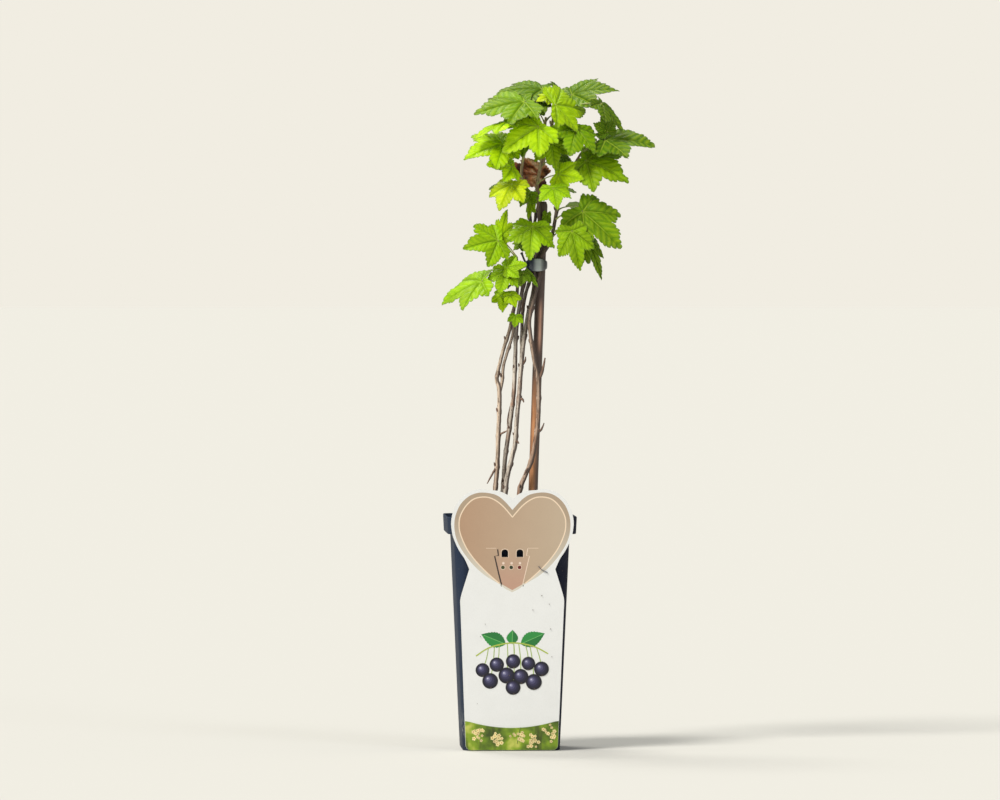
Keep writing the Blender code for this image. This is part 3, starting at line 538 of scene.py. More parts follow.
def blend(factor, a, b, mode="MIX"):
    made = node(tree_of((factor, a, b)), "Mix", data_type="RGBA", blend_type=mode)
    for label, value in (("Factor", factor), ("A", a), ("B", b)):
        feed(next(s for s in made.inputs if s.name == label and s.enabled), value)
    return next(s for s in made.outputs if s.enabled)


def stain(colour, mask, low, high, amount, over):
    """Another colour laid over the first, up to amount, as the mask goes from low to high."""
    return blend(spread(mask, low, high, 0.0, amount), colour, over)


def ramp(factor, *stops):
    """A colour ramp; each stop is a position and a colour of 0 to 255."""
    made = node(factor.id_data, "ValToRGB", (factor,))
    elements = made.color_ramp.elements
    while len(elements) < len(stops):
        elements.new(0.5)
    for element, (at, colour) in zip(elements, stops):
        element.position = at
        element.color = srgb(*colour)
    return made.outputs[0]


def attribute(tree, name, output="Fac"):
    return node(tree, "Attribute", attribute_name=name).outputs[output]


def place(tree, scale=(1, 1, 1)):
    """Object coordinates in metres, stretched by scale."""
    coordinates = node(tree, "TexCoord").outputs["Object"]
    return node(tree, "Mapping", (coordinates, None, None, scale)).outputs[0]


def grain(tree, scale, detail=3.0, roughness=0.55, stretch=(1, 1, 1)):
    return node(tree, "TexNoise", (place(tree, stretch), None, scale, detail, roughness)).outputs["Fac"]


def position(tree):
    """The three object coordinates in metres."""
    return node(tree, "SeparateXYZ", (node(tree, "TexCoord").outputs["Object"],)).outputs


def painted(material, colour, roughness=None, height=None, strength=0.3, distance=0.4 * MM):
    """The material, once its colour, roughness and relief are linked."""
    tree = material.node_tree
    shader = tree.nodes["Principled BSDF"]
    feed(shader.inputs["Base Color"], colour)
    if roughness is not None:
        feed(shader.inputs["Roughness"], roughness)
    if height is not None:
        bump = node(tree, "Bump", (strength, distance))
        feed(bump.inputs["Height"], height)
        feed(shader.inputs["Normal"], bump.outputs[0])
    return material


# Stems and leaf stalks

def smooth_path(points, spacing):
    """Points about spacing apart on a Catmull-Rom curve through the given ones."""
    path = []
    for i in range(len(points) - 1):
        before = points[max(i - 1, 0)]
        start, end = points[i], points[i + 1]
        after = points[min(i + 2, len(points) - 1)]
        steps = max(1, round((end.xyz - start.xyz).length / spacing))
        for step in range(steps):
            t = step / steps
            path.append(0.5 * (2 * start + (end - before) * t
                               + (2 * before - 5 * start + 4 * end - after) * t ** 2
                               + (3 * start - before - 3 * end + after) * t ** 3))
    path.append(points[-1])
    return path


def stem_path(name):
    return smooth_path(in_metres(STEMS[name]), STEM_SPACING)


def point_at_height(path, height):
    """The point of a rising path at a given height."""
    for low, high in zip(path, path[1:]):
        if low.z <= height <= high.z:
            return low.lerp(high, (height - low.z) / (high.z - low.z))
    return path[-1]


def sweep(soup, path, sides, material, relief=None, **values):
    """A closed round rod along a path of four-component points, the fourth being the radius."""
    verts = []
    # How far each point faces +x; the bark uses it for painted shade
    east = []
    reference = Vector((0.31, -0.95, 0.05))
    for i, point in enumerate(path):
        ahead = path[min(i + 1, len(path) - 1)].xyz - path[max(i - 1, 0)].xyz
        ahead.normalize()
        reference = (reference - reference.dot(ahead) * ahead).normalized()
        across = ahead.cross(reference)
        for side in range(sides):
            angle = tau * side / sides
            radius = point.w * (1 + relief(i, angle) if relief else 1)
            out = cos(angle) * reference + sin(angle) * across
            verts.append(point.xyz + radius * out)
            east.append(out.x)
    last = (len(path) - 1) * sides
    caps = [tuple(range(sides - 1, -1, -1)), tuple(range(last, last + sides))]
    soup.add(verts, wall_faces(len(path), sides) + caps, material, east=east, **values)


def swollen(path, draws):
    """Radius changes along a cane: a thickened ring at each node and slow irregular swelling."""
    gaps = []
    height = path[0].z + draws.uniform(8, 20) * MM
    while height < path[-1].z:
        gaps.append(height)
        height += BUD_SPACING * draws.uniform(0.75, 1.5)
    offset = draws.uniform(0, 50)

    def relief(i, angle):
        z = path[i].z
        ring = sum(NODE_SWELLING * exp(-((z - gap) / NODE_LENGTH) ** 2) for gap in gaps)
        rough = noise.noise(Vector((cos(angle) * 1.3, sin(angle) * 1.3, z * 160 + offset)))
        ridge = noise.noise(Vector((cos(angle) * 3.1, sin(angle) * 3.1, z * 420 + offset)))
        return ring + 0.11 * rough + 0.07 * ridge

    return relief, gaps


def add_bud(soup, stem, height, angle, length):
    """A pointed bud lying close along the cane."""
    foot = point_at_height(stem, height)
    out = Vector((cos(angle), sin(angle), 0))
    rise = (0.45 * out + Vector((0, 0, 1))).normalized()
    start = foot.xyz + foot.w * 0.7 * out
    path = [Vector((*(start + rise * length * share), width * length)) for share, width in BUD_SHAPE]
    sweep(soup, path, TWIG_SIDES, 1)


def add_stem(soup, name, draws):
    """A cane or fork with its buds and its bare side twigs."""
    path = stem_path(name)
    relief, gaps = swollen(path, draws)
    sweep(soup, path, STEM_SIDES, 0, relief)
    facing = draws.uniform(0, tau)
    for gap in gaps:
        if gap > RIM_HEIGHT:
            add_bud(soup, path, gap, facing, draws.uniform(*BUD_LENGTHS) * MM)
        facing += pi + draws.uniform(-0.7, 0.7)
    for *knots, radius in TWIGS.get(name, ()):
        points = in_metres(knots, radius * 1.25)
        points[-1].w = radius * 0.55 * MM
        shift = draws.uniform(0, 50)

        def knobbly(i, angle, shift=shift):
            return 0.3 * noise.noise(Vector((cos(angle), sin(angle), i * 0.7 + shift)))

        sweep(soup, smooth_path(points, TWIG_SPACING), TWIG_SIDES, 1, knobbly)


# Leaves

def leaf_frame(leaf):
    """Junction, middle-rib direction, side direction, upper normal and middle-lobe length."""
    junction = Vector(leaf.junction) * MM
    chord = Vector(leaf.tip) * MM - junction
    along = chord.normalized()
    face = Vector(leaf.face)
    face = (face - face.dot(along) * along).normalized()
    bend = atan2(leaf.droop, 1.0)
    rib = cos(bend) * along + sin(bend) * face
    normal = cos(bend) * face - sin(bend) * along
    return junction, rib, normal.cross(rib), normal, chord.length * cos(bend)


def leaf_outline(draws):
    """The toothed outline in shares of the middle lobe, as an array of points, anticlockwise."""
    halves = []
    for side in (1, -1):
        half = []
        for angle, reach in BLADE_OUTLINE:
            loose = 0 if angle in (0, 180) else 1
            bent = radians(angle + loose * draws.uniform(-LOOSE_ANGLE, LOOSE_ANGLE))
            half.append((bent * side, reach * (1 + loose * draws.uniform(-LOOSE_REACH, LOOSE_REACH))))
        halves.append(half)
    ring = halves[0] + halves[1][1:-1][::-1]
    corners = [(Vector((reach * cos(angle), reach * sin(angle))), reach) for angle, reach in ring]
    outline = []
    for (start, reach), (end, next_reach) in zip(corners, corners[1:] + corners[:1]):
        edge = end - start
        outward = Vector((edge.y, -edge.x)).normalized()
        teeth = max(1, round(edge.length / TOOTH_LENGTH))
        profile = TOOTH_PROFILE
        if next_reach <= reach:
            profile = [(1 - t, lift) for t, lift in reversed(TOOTH_PROFILE)]
        depth = TOOTH_DEPTH * (0.3 if max(reach, next_reach) < 0.5 else 1)
        for tooth in range(teeth):
            bite = depth * draws.uniform(0.7, 1.25)
            for t, lift in profile:
                outline.append(start + edge * (tooth + t) / teeth + outward * bite * lift)
    return np.array(outline)


def vein_fields(u, v):
    """Distance along and across the nearest main vein, and the phase of the side veins that leave it."""
    reach = np.hypot(u, v)
    angle = np.abs(np.degrees(np.arctan2(v, u)))
    away = np.radians(np.abs(angle[..., None] - np.array(MAIN_VEINS)).min(-1))
    across = reach * np.sin(away)
    along = reach * np.cos(away)
    phase = (along - across / np.tan(SIDE_VEIN_ANGLE) + 0.6 * across ** 2) / SIDE_VEIN_SPACING
    return along, across, phase


def painted_fold_light(u, v, draws):
    """Painted light and shade for each side of each main vein, as on a blade folded there: a brightness that
    steps at the vein and drifts between veins.
    """
    knots = []
    for vein in (-100, -51, 0, 51, 100):
        light = draws.uniform(0.3, 1) * draws.choice((-1, 1))
        knots += [(vein - 1.5, 1 - FOLD_LIGHT_STEP * light), (vein + 1.5, 1 + FOLD_LIGHT_STEP * light)]
    return np.interp(np.degrees(np.arctan2(v, u)), *zip(*knots))


def add_leaf(soup, leaf, draws, crumple=0.0):
    """A blade with relief along its veins, closed by a thin edge; a dead one is crumpled."""
    junction, rib, side, normal, size = (np.array(item) for item in leaf_frame(leaf))
    outline = leaf_outline(draws)
    count = len(outline)
    grid = np.array(RINGS)[:, None, None] * outline[None]
    grid = np.concatenate([np.zeros((1, 2)), grid.reshape(-1, 2)])
    u, v = grid.T
    along, across, phase = vein_fields(u, v)
    shift = draws.uniform(0, 90)
    phase += VEIN_WANDER * np.array([noise.noise(Vector((a * 3.5, b * 3.5, shift))) for a, b in grid])
    reach = np.hypot(u, v)
    edge = np.clip((0.92 - along) / 0.2, 0.35, 1)
    pleat = PLEAT_HEIGHT * (0.5 - 0.5 * np.cos(tau * phase)) * np.clip(across / 0.05, 0, 1) * edge
    groove = -GROOVE_DEPTH * np.exp(-(across / GROOVE_WIDTH) ** 2) * np.clip(along / 0.08, 0, 1)
    fold = FOLD * across / (1 + 4 * across)
    turn = np.arctan2(v, u)
    waves = draws.uniform(0, tau), draws.uniform(0, tau)
    wave = 0.04 * reach ** 2 * np.sin(5 * turn + waves[0]) + 0.02 * reach ** 2 * np.sin(9 * turn + waves[1])
    drop = leaf.droop * np.clip(u, 0, None) ** 2 + leaf.side * v ** 2
    lift = pleat + groove + fold + wave - drop - 0.02
    crest = np.zeros(len(u))
    if crumple:
        crest = np.array([noise.fractal(Vector((a * 2.8, b * 2.8, 3)), 1.0, 2.2, 3) for a, b in grid])
        lift = lift + crumple * crest
    middle = junction + size * (u[:, None] * rib + leaf.spread * v[:, None] * side + lift[:, None] * normal)
    half = BLADE_HALF_THICKNESS * normal
    total = len(middle)
    top = [(0, 1 + i, 1 + (i + 1) % count) for i in range(count)]
    top += [(1 + a, 1 + d, 1 + c, 1 + b) for a, b, c, d in wall_faces(len(RINGS), count)]
    under = [tuple(total + i for i in reversed(face)) for face in top]
    rim = range(total - count, total)
    edges = [(b, a, total + a, total + b) for a, b in zip(rim, [*rim[1:], rim[0]])]
    shade = draws.uniform(0.9, 1.1)
    # half: painted light and shade on each side of each main vein
    fields = {
        "half": painted_fold_light(u, v, draws), "across": across, "phase": phase, "reach": reach, "crest": crest,
        "rim": np.concatenate([[0.0], np.repeat(RINGS, count)]),
    }
    soup.add(np.concatenate([middle + half, middle - half]).tolist(), top + under + edges,
             [0] * len(top) + [1] * len(under) + [0] * len(edges),
             tint=srgb(*toned(LEAF_TONES[leaf.tone], shade)),
             veins=VEIN_SHARES[leaf.tone] * draws.uniform(0.8, 1.15),
             **{label: np.tile(field, 2).tolist() for label, field in fields.items()})


def petiole_path(leaf, stem):
    """The stalk's curve from the stem to the blade, with a swollen foot."""
    junction, rib, _, normal, _ = leaf_frame(leaf)
    start = point_at_height(stem, leaf.at * MM).xyz
    reach = (junction - start).length
    arrival = (rib + 0.7 * normal).normalized()
    away = ((junction - start) / reach + Vector((0, 0, 0.5))).normalized()
    controls = (start, start + 0.35 * reach * away, junction - 0.3 * reach * arrival, junction)
    path = []
    for step in range(PETIOLE_STEPS + 1):
        t = step / PETIOLE_STEPS
        weights = ((1 - t) ** 3, 3 * t * (1 - t) ** 2, 3 * t ** 2 * (1 - t), t ** 3)
        spot = sum((weight * control for weight, control in zip(weights, controls)), Vector())
        radius = PETIOLE_RADIUS * (1 + 1.2 * max(0, 0.18 - t) / 0.18 - 0.25 * t)
        path.append(Vector((*spot, radius * MM)))
    return path


def make_cane(name, stems, leaf_materials, bark_materials):
    """The leaves and the wood of one cane, as two objects."""
    draws = random.Random(name)
    leaves = Soup()
    wood = Soup()
    for stem in stems:
        add_stem(wood, stem, draws)
        path = stem_path(stem)
        for row in LEAVES.get(stem, ()):
            leaf = Leaf(*row)
            add_leaf(leaves, leaf, draws)
            sweep(leaves, petiole_path(leaf, path), PETIOLE_SIDES, 2)
    leaves.make(name + "_leaves", name, *leaf_materials)
    wood.make(name + "_wood", name, *bark_materials)


def leaf_material(name, under):
    """Green between pale veins, the upper side with painted shade beside the veins and painted highlights on
    the ridges between them; the underside is paler and greyer, with veins that stand out.
    """
    material, tree = new_material(name, 0.5, Specular_IOR_Level=0.34, Specular_Tint=(0.95, 1.0, 0.4, 1.0))
    labels = "phase", "across", "reach", "veins", "half", "rim"
    phase, across, reach, veins, half, rim = (attribute(tree, label) for label in labels)
    part = maths("FRACT", phase)
    near = maths("MINIMUM", part, maths("SUBTRACT", 1.0, part))
    side = times(spread(near, 0.0, 0.11, 1.0, 0.0), spread(across, 0.0, 0.3, 0.9, 0.35))
    ratio = maths("DIVIDE", across, spread(reach, 0.0, 1.0, 0.024, 0.009))
    main = spread(ratio, 0.35, 0.95, 1.0, 0.0)
    flank = spread(ratio, 1.0, 3.2, 1.0, 0.0)
    cells = node(tree, "TexVoronoi", (place(tree), None, 620.0), feature="DISTANCE_TO_EDGE").outputs[0]
    net = spread(cells, 0.0, 0.12, 1.0, 0.0)
    # The tint with painted light and shade on each half-lobe
    tint = blend(1.0, attribute(tree, "tint", "Color"), half, "MULTIPLY")
    mottle = grain(tree, 130.0, 4.0)
    if under:
        base = stain(blend(0.5, tint, (138, 160, 100)), mottle, 0.3, 0.7, 0.4, (116, 142, 84))
        lines = maths("MAXIMUM", main, times(side, 0.8))
        colour = blend(times(lines, 0.7), base, (190, 202, 140))
    else:
        deep = blend(1.0, tint, (0.42, 0.55, 0.5, 1.0), "MULTIPLY")
        light = blend(0.7, tint, (0.5, 0.56, 0.01, 1.0), "SCREEN")
        # Painted highlights on the ridges between the side veins
        ridge = times(spread(near, 0.12, 0.5), spread(reach, 0.1, 0.9, 0.2, 0.6))
        base = blend(spread(mottle, 0.34, 0.66, 0.55, 0.0), tint, deep)
        base = blend(times(ridge, veins), base, light)
        # Darker fine net, and painted shade in the grooves beside the main veins and along the side veins
        for share in (times(net, 0.16), times(flank, 0.4), times(side, veins)):
            base = blend(share, base, deep)
        colour = blend(times(main, 0.5), base, (184, 208, 70))
    colour = stain(colour, rim, 0.93, 1.0, 0.55, (84, 104, 52))
    lines = times(maths("MAXIMUM", main, side), 0.9 if under else -0.9)
    height = maths("ADD", maths("ADD", times(net, -0.35), mottle), lines)
    return painted(material, colour, spread(mottle, 0.3, 0.7, 0.34, 0.54), height, 0.45)


def petiole_material():
    material, tree = new_material("leaf_stalk", 0.5)
    flecks = grain(tree, 240.0, 3.0)
    colour = ramp(flecks, (0.3, (118, 116, 78)), (0.55, (158, 170, 92)), (0.75, (172, 132, 104)))
    return painted(material, colour, None, flecks, 0.2)


def bark_material(name, pale, dark, cap):
    """Stringy bark that darkens higher up the cane and turns pale tan on the young wood of its tip, with
    painted shade on the side facing +x.
    """
    material, tree = new_material(name, 0.72)
    height = position(tree)["Z"]
    streaks = grain(tree, 700.0, 5.0, 0.65, (1, 1, 0.09))
    patches = grain(tree, 75.0, 3.0, 0.5, (1, 1, 0.5))
    base = ramp(streaks, (0.36, dark), (0.5, pale), (0.68, tuple(min(255, c + 30) for c in pale)))
    rosy = ramp(streaks, (0.35, (112, 74, 58)), (0.65, (188, 142, 112)))
    upper = ramp(streaks, (0.3, toned(cap, 0.6)), (0.7, cap))
    young = ramp(streaks, (0.34, (132, 104, 74)), (0.62, (206, 186, 140)))
    base = stain(base, patches, 0.5, 0.66, 1.0, rosy)
    base = stain(base, height, 0.36, 0.42, 0.8, upper)
    base = stain(base, height, 0.49, 0.525, 0.75, young)
    specks = node(tree, "TexVoronoi", (place(tree, (1, 1, 0.6)), None, 420.0)).outputs["Distance"]
    base = blend(spread(specks, 0.12, 0.24, 0.7, 0.0), base, (54, 40, 34))
    # Painted shade on the side of the cane facing +x, weaker on the young tip
    shady = spread(attribute(tree, "east"), -0.25, 0.35, 0.0, 0.9)
    base = blend(times(shady, spread(height, 0.49, 0.525, 1.0, 0.4)), base, (72, 58, 52))
    return painted(material, base, spread(streaks, 0.3, 0.7, 0.6, 0.85), streaks, 0.6, 0.5 * MM)


def make_canes():
    leaves = leaf_material("leaf_upper", False), leaf_material("leaf_under", True), petiole_material()
    dark_twig = bark_material("twig_bark", (120, 92, 76), (58, 40, 34), (84, 66, 56))
    grey = bark_material("bark_grey", (210, 198, 184), (104, 90, 82), (88, 78, 72))
    barks = {
        "cane_left": bark_material("bark_tan", (212, 190, 168), (100, 80, 68), (78, 68, 62)),
        "cane_right": bark_material("bark_brown", (176, 150, 130), (82, 64, 56), (72, 62, 56)),
    }
    for name, stems in CANES.items():
        make_cane(name, stems, leaves, (barks.get(name, grey), dark_twig))


# Pot

def rounded_square(half, corner):
    """Anticlockwise points round a square with rounded corners."""
    points = []
    for i in range(4 * (CORNER_STEPS + 1)):
        quarter, step = divmod(i, CORNER_STEPS + 1)
        middle = (quarter + 0.5) * pi / 2
        angle = (quarter + step / CORNER_STEPS) * pi / 2
        points.append((copysign(half - corner, cos(middle)) + corner * cos(angle),
                       copysign(half - corner, sin(middle)) + corner * sin(angle)))
    return points


def circle(x, y, radius, steps):
    return [(x + radius * cos(tau * i / steps), y + radius * sin(tau * i / steps)) for i in range(steps)]


def add_walls(soup, rings, **values):
    """Open skins between each ring of points in metres and the next."""
    soup.add([point for ring in rings for point in ring], wall_faces(len(rings), len(rings[0])), **values)


def add_level(soup, loops, height, **values):
    """A flat level face, its loops in millimetres, the later ones as holes."""
    flat = [in_metres(loop, height) for loop in loops]
    soup.add([point for loop in flat for point in loop], tessellate_polygon(flat), **values)


def make_pot():
    """The pot's skin inside and out, with four drain holes through its floor."""
    soup = Soup()
    add_walls(soup, [in_metres(rounded_square(half, corner), height) for half, height, corner in POT_PROFILE])
    places = [(x, y) for x in (-DRAIN_OFFSET, DRAIN_OFFSET) for y in (-DRAIN_OFFSET, DRAIN_OFFSET)]
    holes = [circle(*middle, DRAIN_RADIUS, DRAIN_POINTS) for middle in places]
    for half, height, corner in (POT_PROFILE[0], POT_PROFILE[-1]):
        add_level(soup, [rounded_square(half, corner)] + holes, height)
    for hole in holes:
        add_walls(soup, [in_metres(hole, height) for height in (0, POT_PROFILE[-1][1])])
    soup.make("pot_shell", "pot", pot_material(), weld=True)


def pot_material():
    """Blue-black moulded plastic with painted light that turns its -x side slate, and dust and scuffs low
    down.
    """
    material, tree = new_material("pot_plastic", 0.38, Specular_IOR_Level=0.05,
                                  Specular_Tint=(0.5, 0.62, 1.0, 1.0))
    x, _, height = position(tree)
    # Painted light: the -x side is lighter slate, changing a little with height
    slate = blend(spread(height, 0.02, 0.17), (52, 61, 76), (46, 56, 76))
    colour = blend(spread(x, 0.03, -0.045), (30, 31, 45), slate)
    colour = stain(colour, grain(tree, 28.0, 4.0), 0.4, 0.75, 0.25, (72, 80, 90))
    chalk = times(spread(height, 0.04, 0.0), spread(x, -0.02, -0.05))
    chalk = times(chalk, spread(grain(tree, 38.0, 2.0), 0.46, 0.6))
    flecks = spread(grain(tree, 520.0, 5.0, 0.7, (1, 1, 0.6)), 0.5, 0.6, 0.0, 0.8)
    colour = blend(times(flecks, chalk), colour, (212, 210, 202))
    colour = stain(colour, grain(tree, 900.0, 3.0), 0.6, 0.75, 0.22, (132, 118, 98))
    scratches = grain(tree, 210.0, 5.0, 0.65, (1, 1, 0.05))
    rough = spread(scratches, 0.35, 0.7, 0.48, 0.7)
    return painted(material, colour, rough, grain(tree, 1500.0, 2.0), 0.12, 0.2 * MM)


# Soil

def crumb(draws, centre, size, stretch):
    """One lump: a small ball pushed in and out, as its points and faces."""
    bm = bmesh.new()
    bmesh.ops.create_icosphere(bm, subdivisions=2, radius=1.0)
    shift = draws.uniform(0, 90)
    turn = Euler((draws.uniform(-0.5, 0.5), draws.uniform(-0.5, 0.5), draws.uniform(0, tau))).to_matrix()
    verts = []
    for vert in bm.verts:
        lump = vert.co * (1 + 0.42 * noise.noise(vert.co * 1.4 + Vector((shift, 0, 0))))
        verts.append(centre + size * (turn @ Vector((lump.x * stretch, lump.y, lump.z * 0.7))))
    faces = [tuple(vert.index for vert in face.verts) for face in bm.faces]
    bm.free()
    return verts, faces


def soil_height(x, y, half):
    """The uneven surface in metres, a little lower along the walls."""
    spot = Vector((x, y, 0))
    rough = 1.5 * noise.noise(spot * 38) + 0.8 * noise.noise(spot * 130) + 0.5 * noise.noise(spot * 420)
    return SOIL_TOP + (rough - 0.5 * max(abs(x), abs(y)) / half) * MM


def soil_ring(half, count=0):
    return smooth_ring(rounded_square(half, SOIL_CORNER), SOIL_STEP, count)


def make_soil():
    """A block with an uneven top, strewn with dark crumbs, bits of bark and a few pale grains."""
    soup = Soup()
    draws = random.Random("soil")
    earth = srgb(*SOIL_TONE)
    top_half = SOIL_SIDE[-1][0] * MM
    rim = soil_ring(SOIL_SIDE[-1][0])
    rings = [in_metres(soil_ring(half, len(rim)), height) for half, height in SOIL_SIDE[:-1]]
    for i in range(SOIL_RINGS):
        ring = [point * (1 - i / SOIL_RINGS) for point in in_metres(rim, 0)]
        for point in ring:
            point.z = soil_height(point.x, point.y, top_half)
        rings.append(ring)
    add_walls(soup, rings, tint=earth)
    add_level(soup, [[(point.x / MM, point.y / MM) for point in rings[0]]], SOIL_SIDE[0][1], tint=earth)
    count = len(rim)
    fan = [(i, (i + 1) % count, count) for i in range(count)]
    soup.add(rings[-1] + [Vector((0, 0, soil_height(0, 0, top_half)))], fan, tint=earth)
    for i in range(CRUMBS):
        kind = draws.random()
        size = draws.uniform(*CRUMB_SIZES) * MM
        reach = top_half - size * 2.4
        x, y = draws.uniform(-reach, reach), draws.uniform(-reach, reach)
        centre = Vector((x, y, soil_height(x, y, top_half) + size * 0.3))
        tone = draws.uniform(0.7, 1.3)
        stretch = draws.uniform(1.0, 1.6)
        if kind < PALE_SHARE:
            colour = PALE_TONE
        elif kind < BARK_SHARE:
            colour = toned(BARK_TONE, tone)
            stretch = draws.uniform(1.6, 2.2)
        else:
            colour = toned(CRUMB_TONE, tone)
        soup.add(*crumb(draws, centre, size, stretch), tint=srgb(*colour))
    soup.make("soil_surface", "soil", soil_material(), weld=True)


def smooth_ring(points, step, count=0):
    """A ring of points walked in even steps; with a count, in that many steps."""
    around = [Vector(point) for point in points]
    around.append(around[0])
    lengths = [(b - a).length for a, b in zip(around, around[1:])]
    total = sum(lengths)
    count = count or round(total / step)
    ring = []
    edge, passed = 0, 0.0
    for i in range(count):
        target = total * i / count
        while passed + lengths[edge] < target:
            passed += lengths[edge]
            edge += 1
        ring.append(tuple(around[edge].lerp(around[edge + 1], (target - passed) / lengths[edge])))
    return ring


def soil_material():
    material, tree = new_material("potting_soil", 0.95)
    tint = attribute(tree, "tint", "Color")
    fine = grain(tree, 700.0, 5.0, 0.7)
    wet = blend(1.0, tint, (0.4, 0.36, 0.34, 1.0), "MULTIPLY")
    return painted(material, stain(wet, fine, 0.35, 0.65, 1.0, tint), spread(fine, 0.3, 0.7, 0.85, 1.0), fine,
                   0.8, 0.8 * MM)


# Stake

def make_stake():
    """A straight stick with a little relief in its surface, tinted with painted light round and along it."""
    soup = Soup()
    foot, head = Vector(STAKE_FOOT) * MM, Vector(STAKE_HEAD) * MM
    path = []
    for i in range(STAKE_RINGS + 1):
        share = i / STAKE_RINGS
        end = 1 - STAKE_CHAMFER * share_between(share, 0.993, 1)
        path.append(Vector((*foot.lerp(head, share), STAKE_RADIUS * end * MM)))

    def relief(i, angle):
        x, y = cos(angle), sin(angle)
        slow = noise.noise(Vector((x * 2.2, y * 2.2, i * 0.05)))
        return 0.03 * slow + 0.025 * noise.noise(Vector((x * 6, y * 6, i * 0.12)))

    sweep(soup, path, STAKE_SIDES, 0, relief)
    tints = []
    for i, vert in enumerate(soup.verts):
        middle = path[i // STAKE_SIDES]
        tints.append(stake_colour_and_painted_light((vert[0] - middle.x) / (STAKE_RADIUS * MM), middle.z / MM))
    soup.values["tint"] = tints
    soup.make("stake_stick", "stake", stake_material())


def stake_colour_and_painted_light(across, height):
    """Dark at both edges; a painted pale reddish highlight stripe and painted orange light on the left side,
    each over its own stretch.
    """
    stripe = share_between(height, 362, 377) * share_between(height, 416, 402)
    # A painted highlight stripe, then painted light on the left side
    highlight_share = exp(-((across - 0.2) / 0.3) ** 2) * stripe
    lit_side_share = exp(-((across + 0.4) / 0.6) ** 2) * share_between(height, 350, 310)
    colour = mixed(srgb(88, 71, 64), srgb(222, 170, 142), 0.85 * highlight_share)
    return mixed(colour, srgb(226, 160, 108), 0.9 * lit_side_share)


def stake_material():
    material, tree = new_material("stake_wood", 0.6)
    tint = attribute(tree, "tint", "Color")
    streaks = grain(tree, 800.0, 5.0, 0.65, (1, 1, 0.04))
    shade = blend(1.0, tint, (0.66, 0.62, 0.62, 1.0), "MULTIPLY")
    colour = stain(shade, streaks, 0.35, 0.62, 1.0, tint)
    colour = stain(colour, grain(tree, 60.0, 2.0), 0.66, 0.72, 0.6, (46, 32, 28))
    return painted(material, colour, spread(streaks, 0.3, 0.7, 0.42, 0.7), streaks, 0.45, 0.35 * MM)


# Tie

def make_tie():
    """A moulded band round the stake and the canes, lower at its ends, with its three loose tails."""
    soup = Soup()
    rings = []
    for x, y in circle(0, 0, 1, TIE_POINTS):
        x = copysign(abs(x) ** (2 / TIE_SQUARENESS), x)
        y = copysign(abs(y) ** (2 / TIE_SQUARENESS), y)
        squeeze = 1 - TIE_TAPER * abs(x) ** 3
        rings.append([Vector((x * (TIE_HALF_LENGTH + grow), y * (TIE_HALF_DEPTH + grow), rise * squeeze)) * MM
                      + Vector(TIE_CENTRE) * MM for grow, rise in TIE_SECTION])
    rings.append(rings[0])
    # The band's colour carries a painted highlight
    add_walls(soup, rings, tint=[tie_colour_and_painted_highlight(point.x / MM - TIE_CENTRE[0]) for ring in rings for point in ring])
    for knots in TIE_TAILS:
        path = smooth_path(in_metres(knots, TIE_TAIL_RADIUS), TIE_TAIL_SPACING)
        for point, swell in zip(path[-len(TIE_TAIL_ENDS):], TIE_TAIL_ENDS):
            point.w *= swell
        sweep(soup, path, TIE_TAIL_SIDES, 0, tint=srgb(*TIE_TAIL_TONE))
    soup.make("tie_band", "tie", tie_material(), weld=True)


def tie_colour_and_painted_highlight(across):
    """Navy on the left, a painted highlight of pale grey right of the middle, dark again at the right-hand
    end.
    """
    colour = mixed(srgb(28, 38, 58), srgb(66, 68, 74), share_between(across, 0, 6))
    return mixed(colour, srgb(196, 206, 206), exp(-((across - 1.8) / 2.9) ** 2))


def tie_material():
    material, tree = new_material("tie_plastic", 0.28, Coat_Weight=0.25, Coat_Roughness=0.12)
    scuffs = grain(tree, 420.0, 4.0, 0.6, (1, 1, 0.4))
    worn = stain(attribute(tree, "tint", "Color"), scuffs, 0.56, 0.7, 0.35, (170, 176, 178))
    return painted(material, worn, spread(scuffs, 0.3, 0.7, 0.2, 0.42), scuffs, 0.15, 0.2 * MM)


# Label

def curve2d(points, step=1.5):
    """A smooth path through (x, height) points."""
    path = smooth_path([Vector((x, height, 0)) for x, height in points], step)
    return [(point.x, point.y) for point in path]


def arc(centre, radii, start, end, steps):
    """Points of an elliptical arc, angles in degrees."""
    angles = [radians(start + (end - start) * i / steps) for i in range(steps + 1)]
    return [(centre[0] + radii[0] * cos(angle), centre[1] + radii[1] * sin(angle)) for angle in angles]


def mirrored(points):
    return [(-x, height) for x, height in points]


def card_outline():
    """The card's edge, clockwise from the notch."""
    lobe = (HEART_LOBE_OFFSET, HEART_WIDEST)
    rise = HEART_TOP - HEART_WIDEST
    half = curve2d(HEART_NOTCH)
    half += arc(lobe, (HEART_LOBE_OFFSET, rise), 104, 93, 3)
    half += arc(lobe, (HEART_HALF_WIDTH - HEART_LOBE_OFFSET, rise), 87, 3, 26)
    half += curve2d(HEART_SIDE) + curve2d(CARD_SHOULDER)
    half += arc(CARD_CORNER_CENTRE, (CARD_CORNER, CARD_CORNER), 0, -90, 10)
    return half + mirrored(half[:0:-1])


def stroke(path, width):
    """The outline of a stroke of an even width along a path of (x, height) points."""
    left, right = [], []
    for i, point in enumerate(path):
        ahead = Vector(path[min(i + 1, len(path) - 1)]) - Vector(path[max(i - 1, 0)])
        across = Vector((-ahead.y, ahead.x)).normalized() * width / 2
        left.append(tuple(Vector(point) + across))
        right.append(tuple(Vector(point) - across))
    return left + right[::-1]


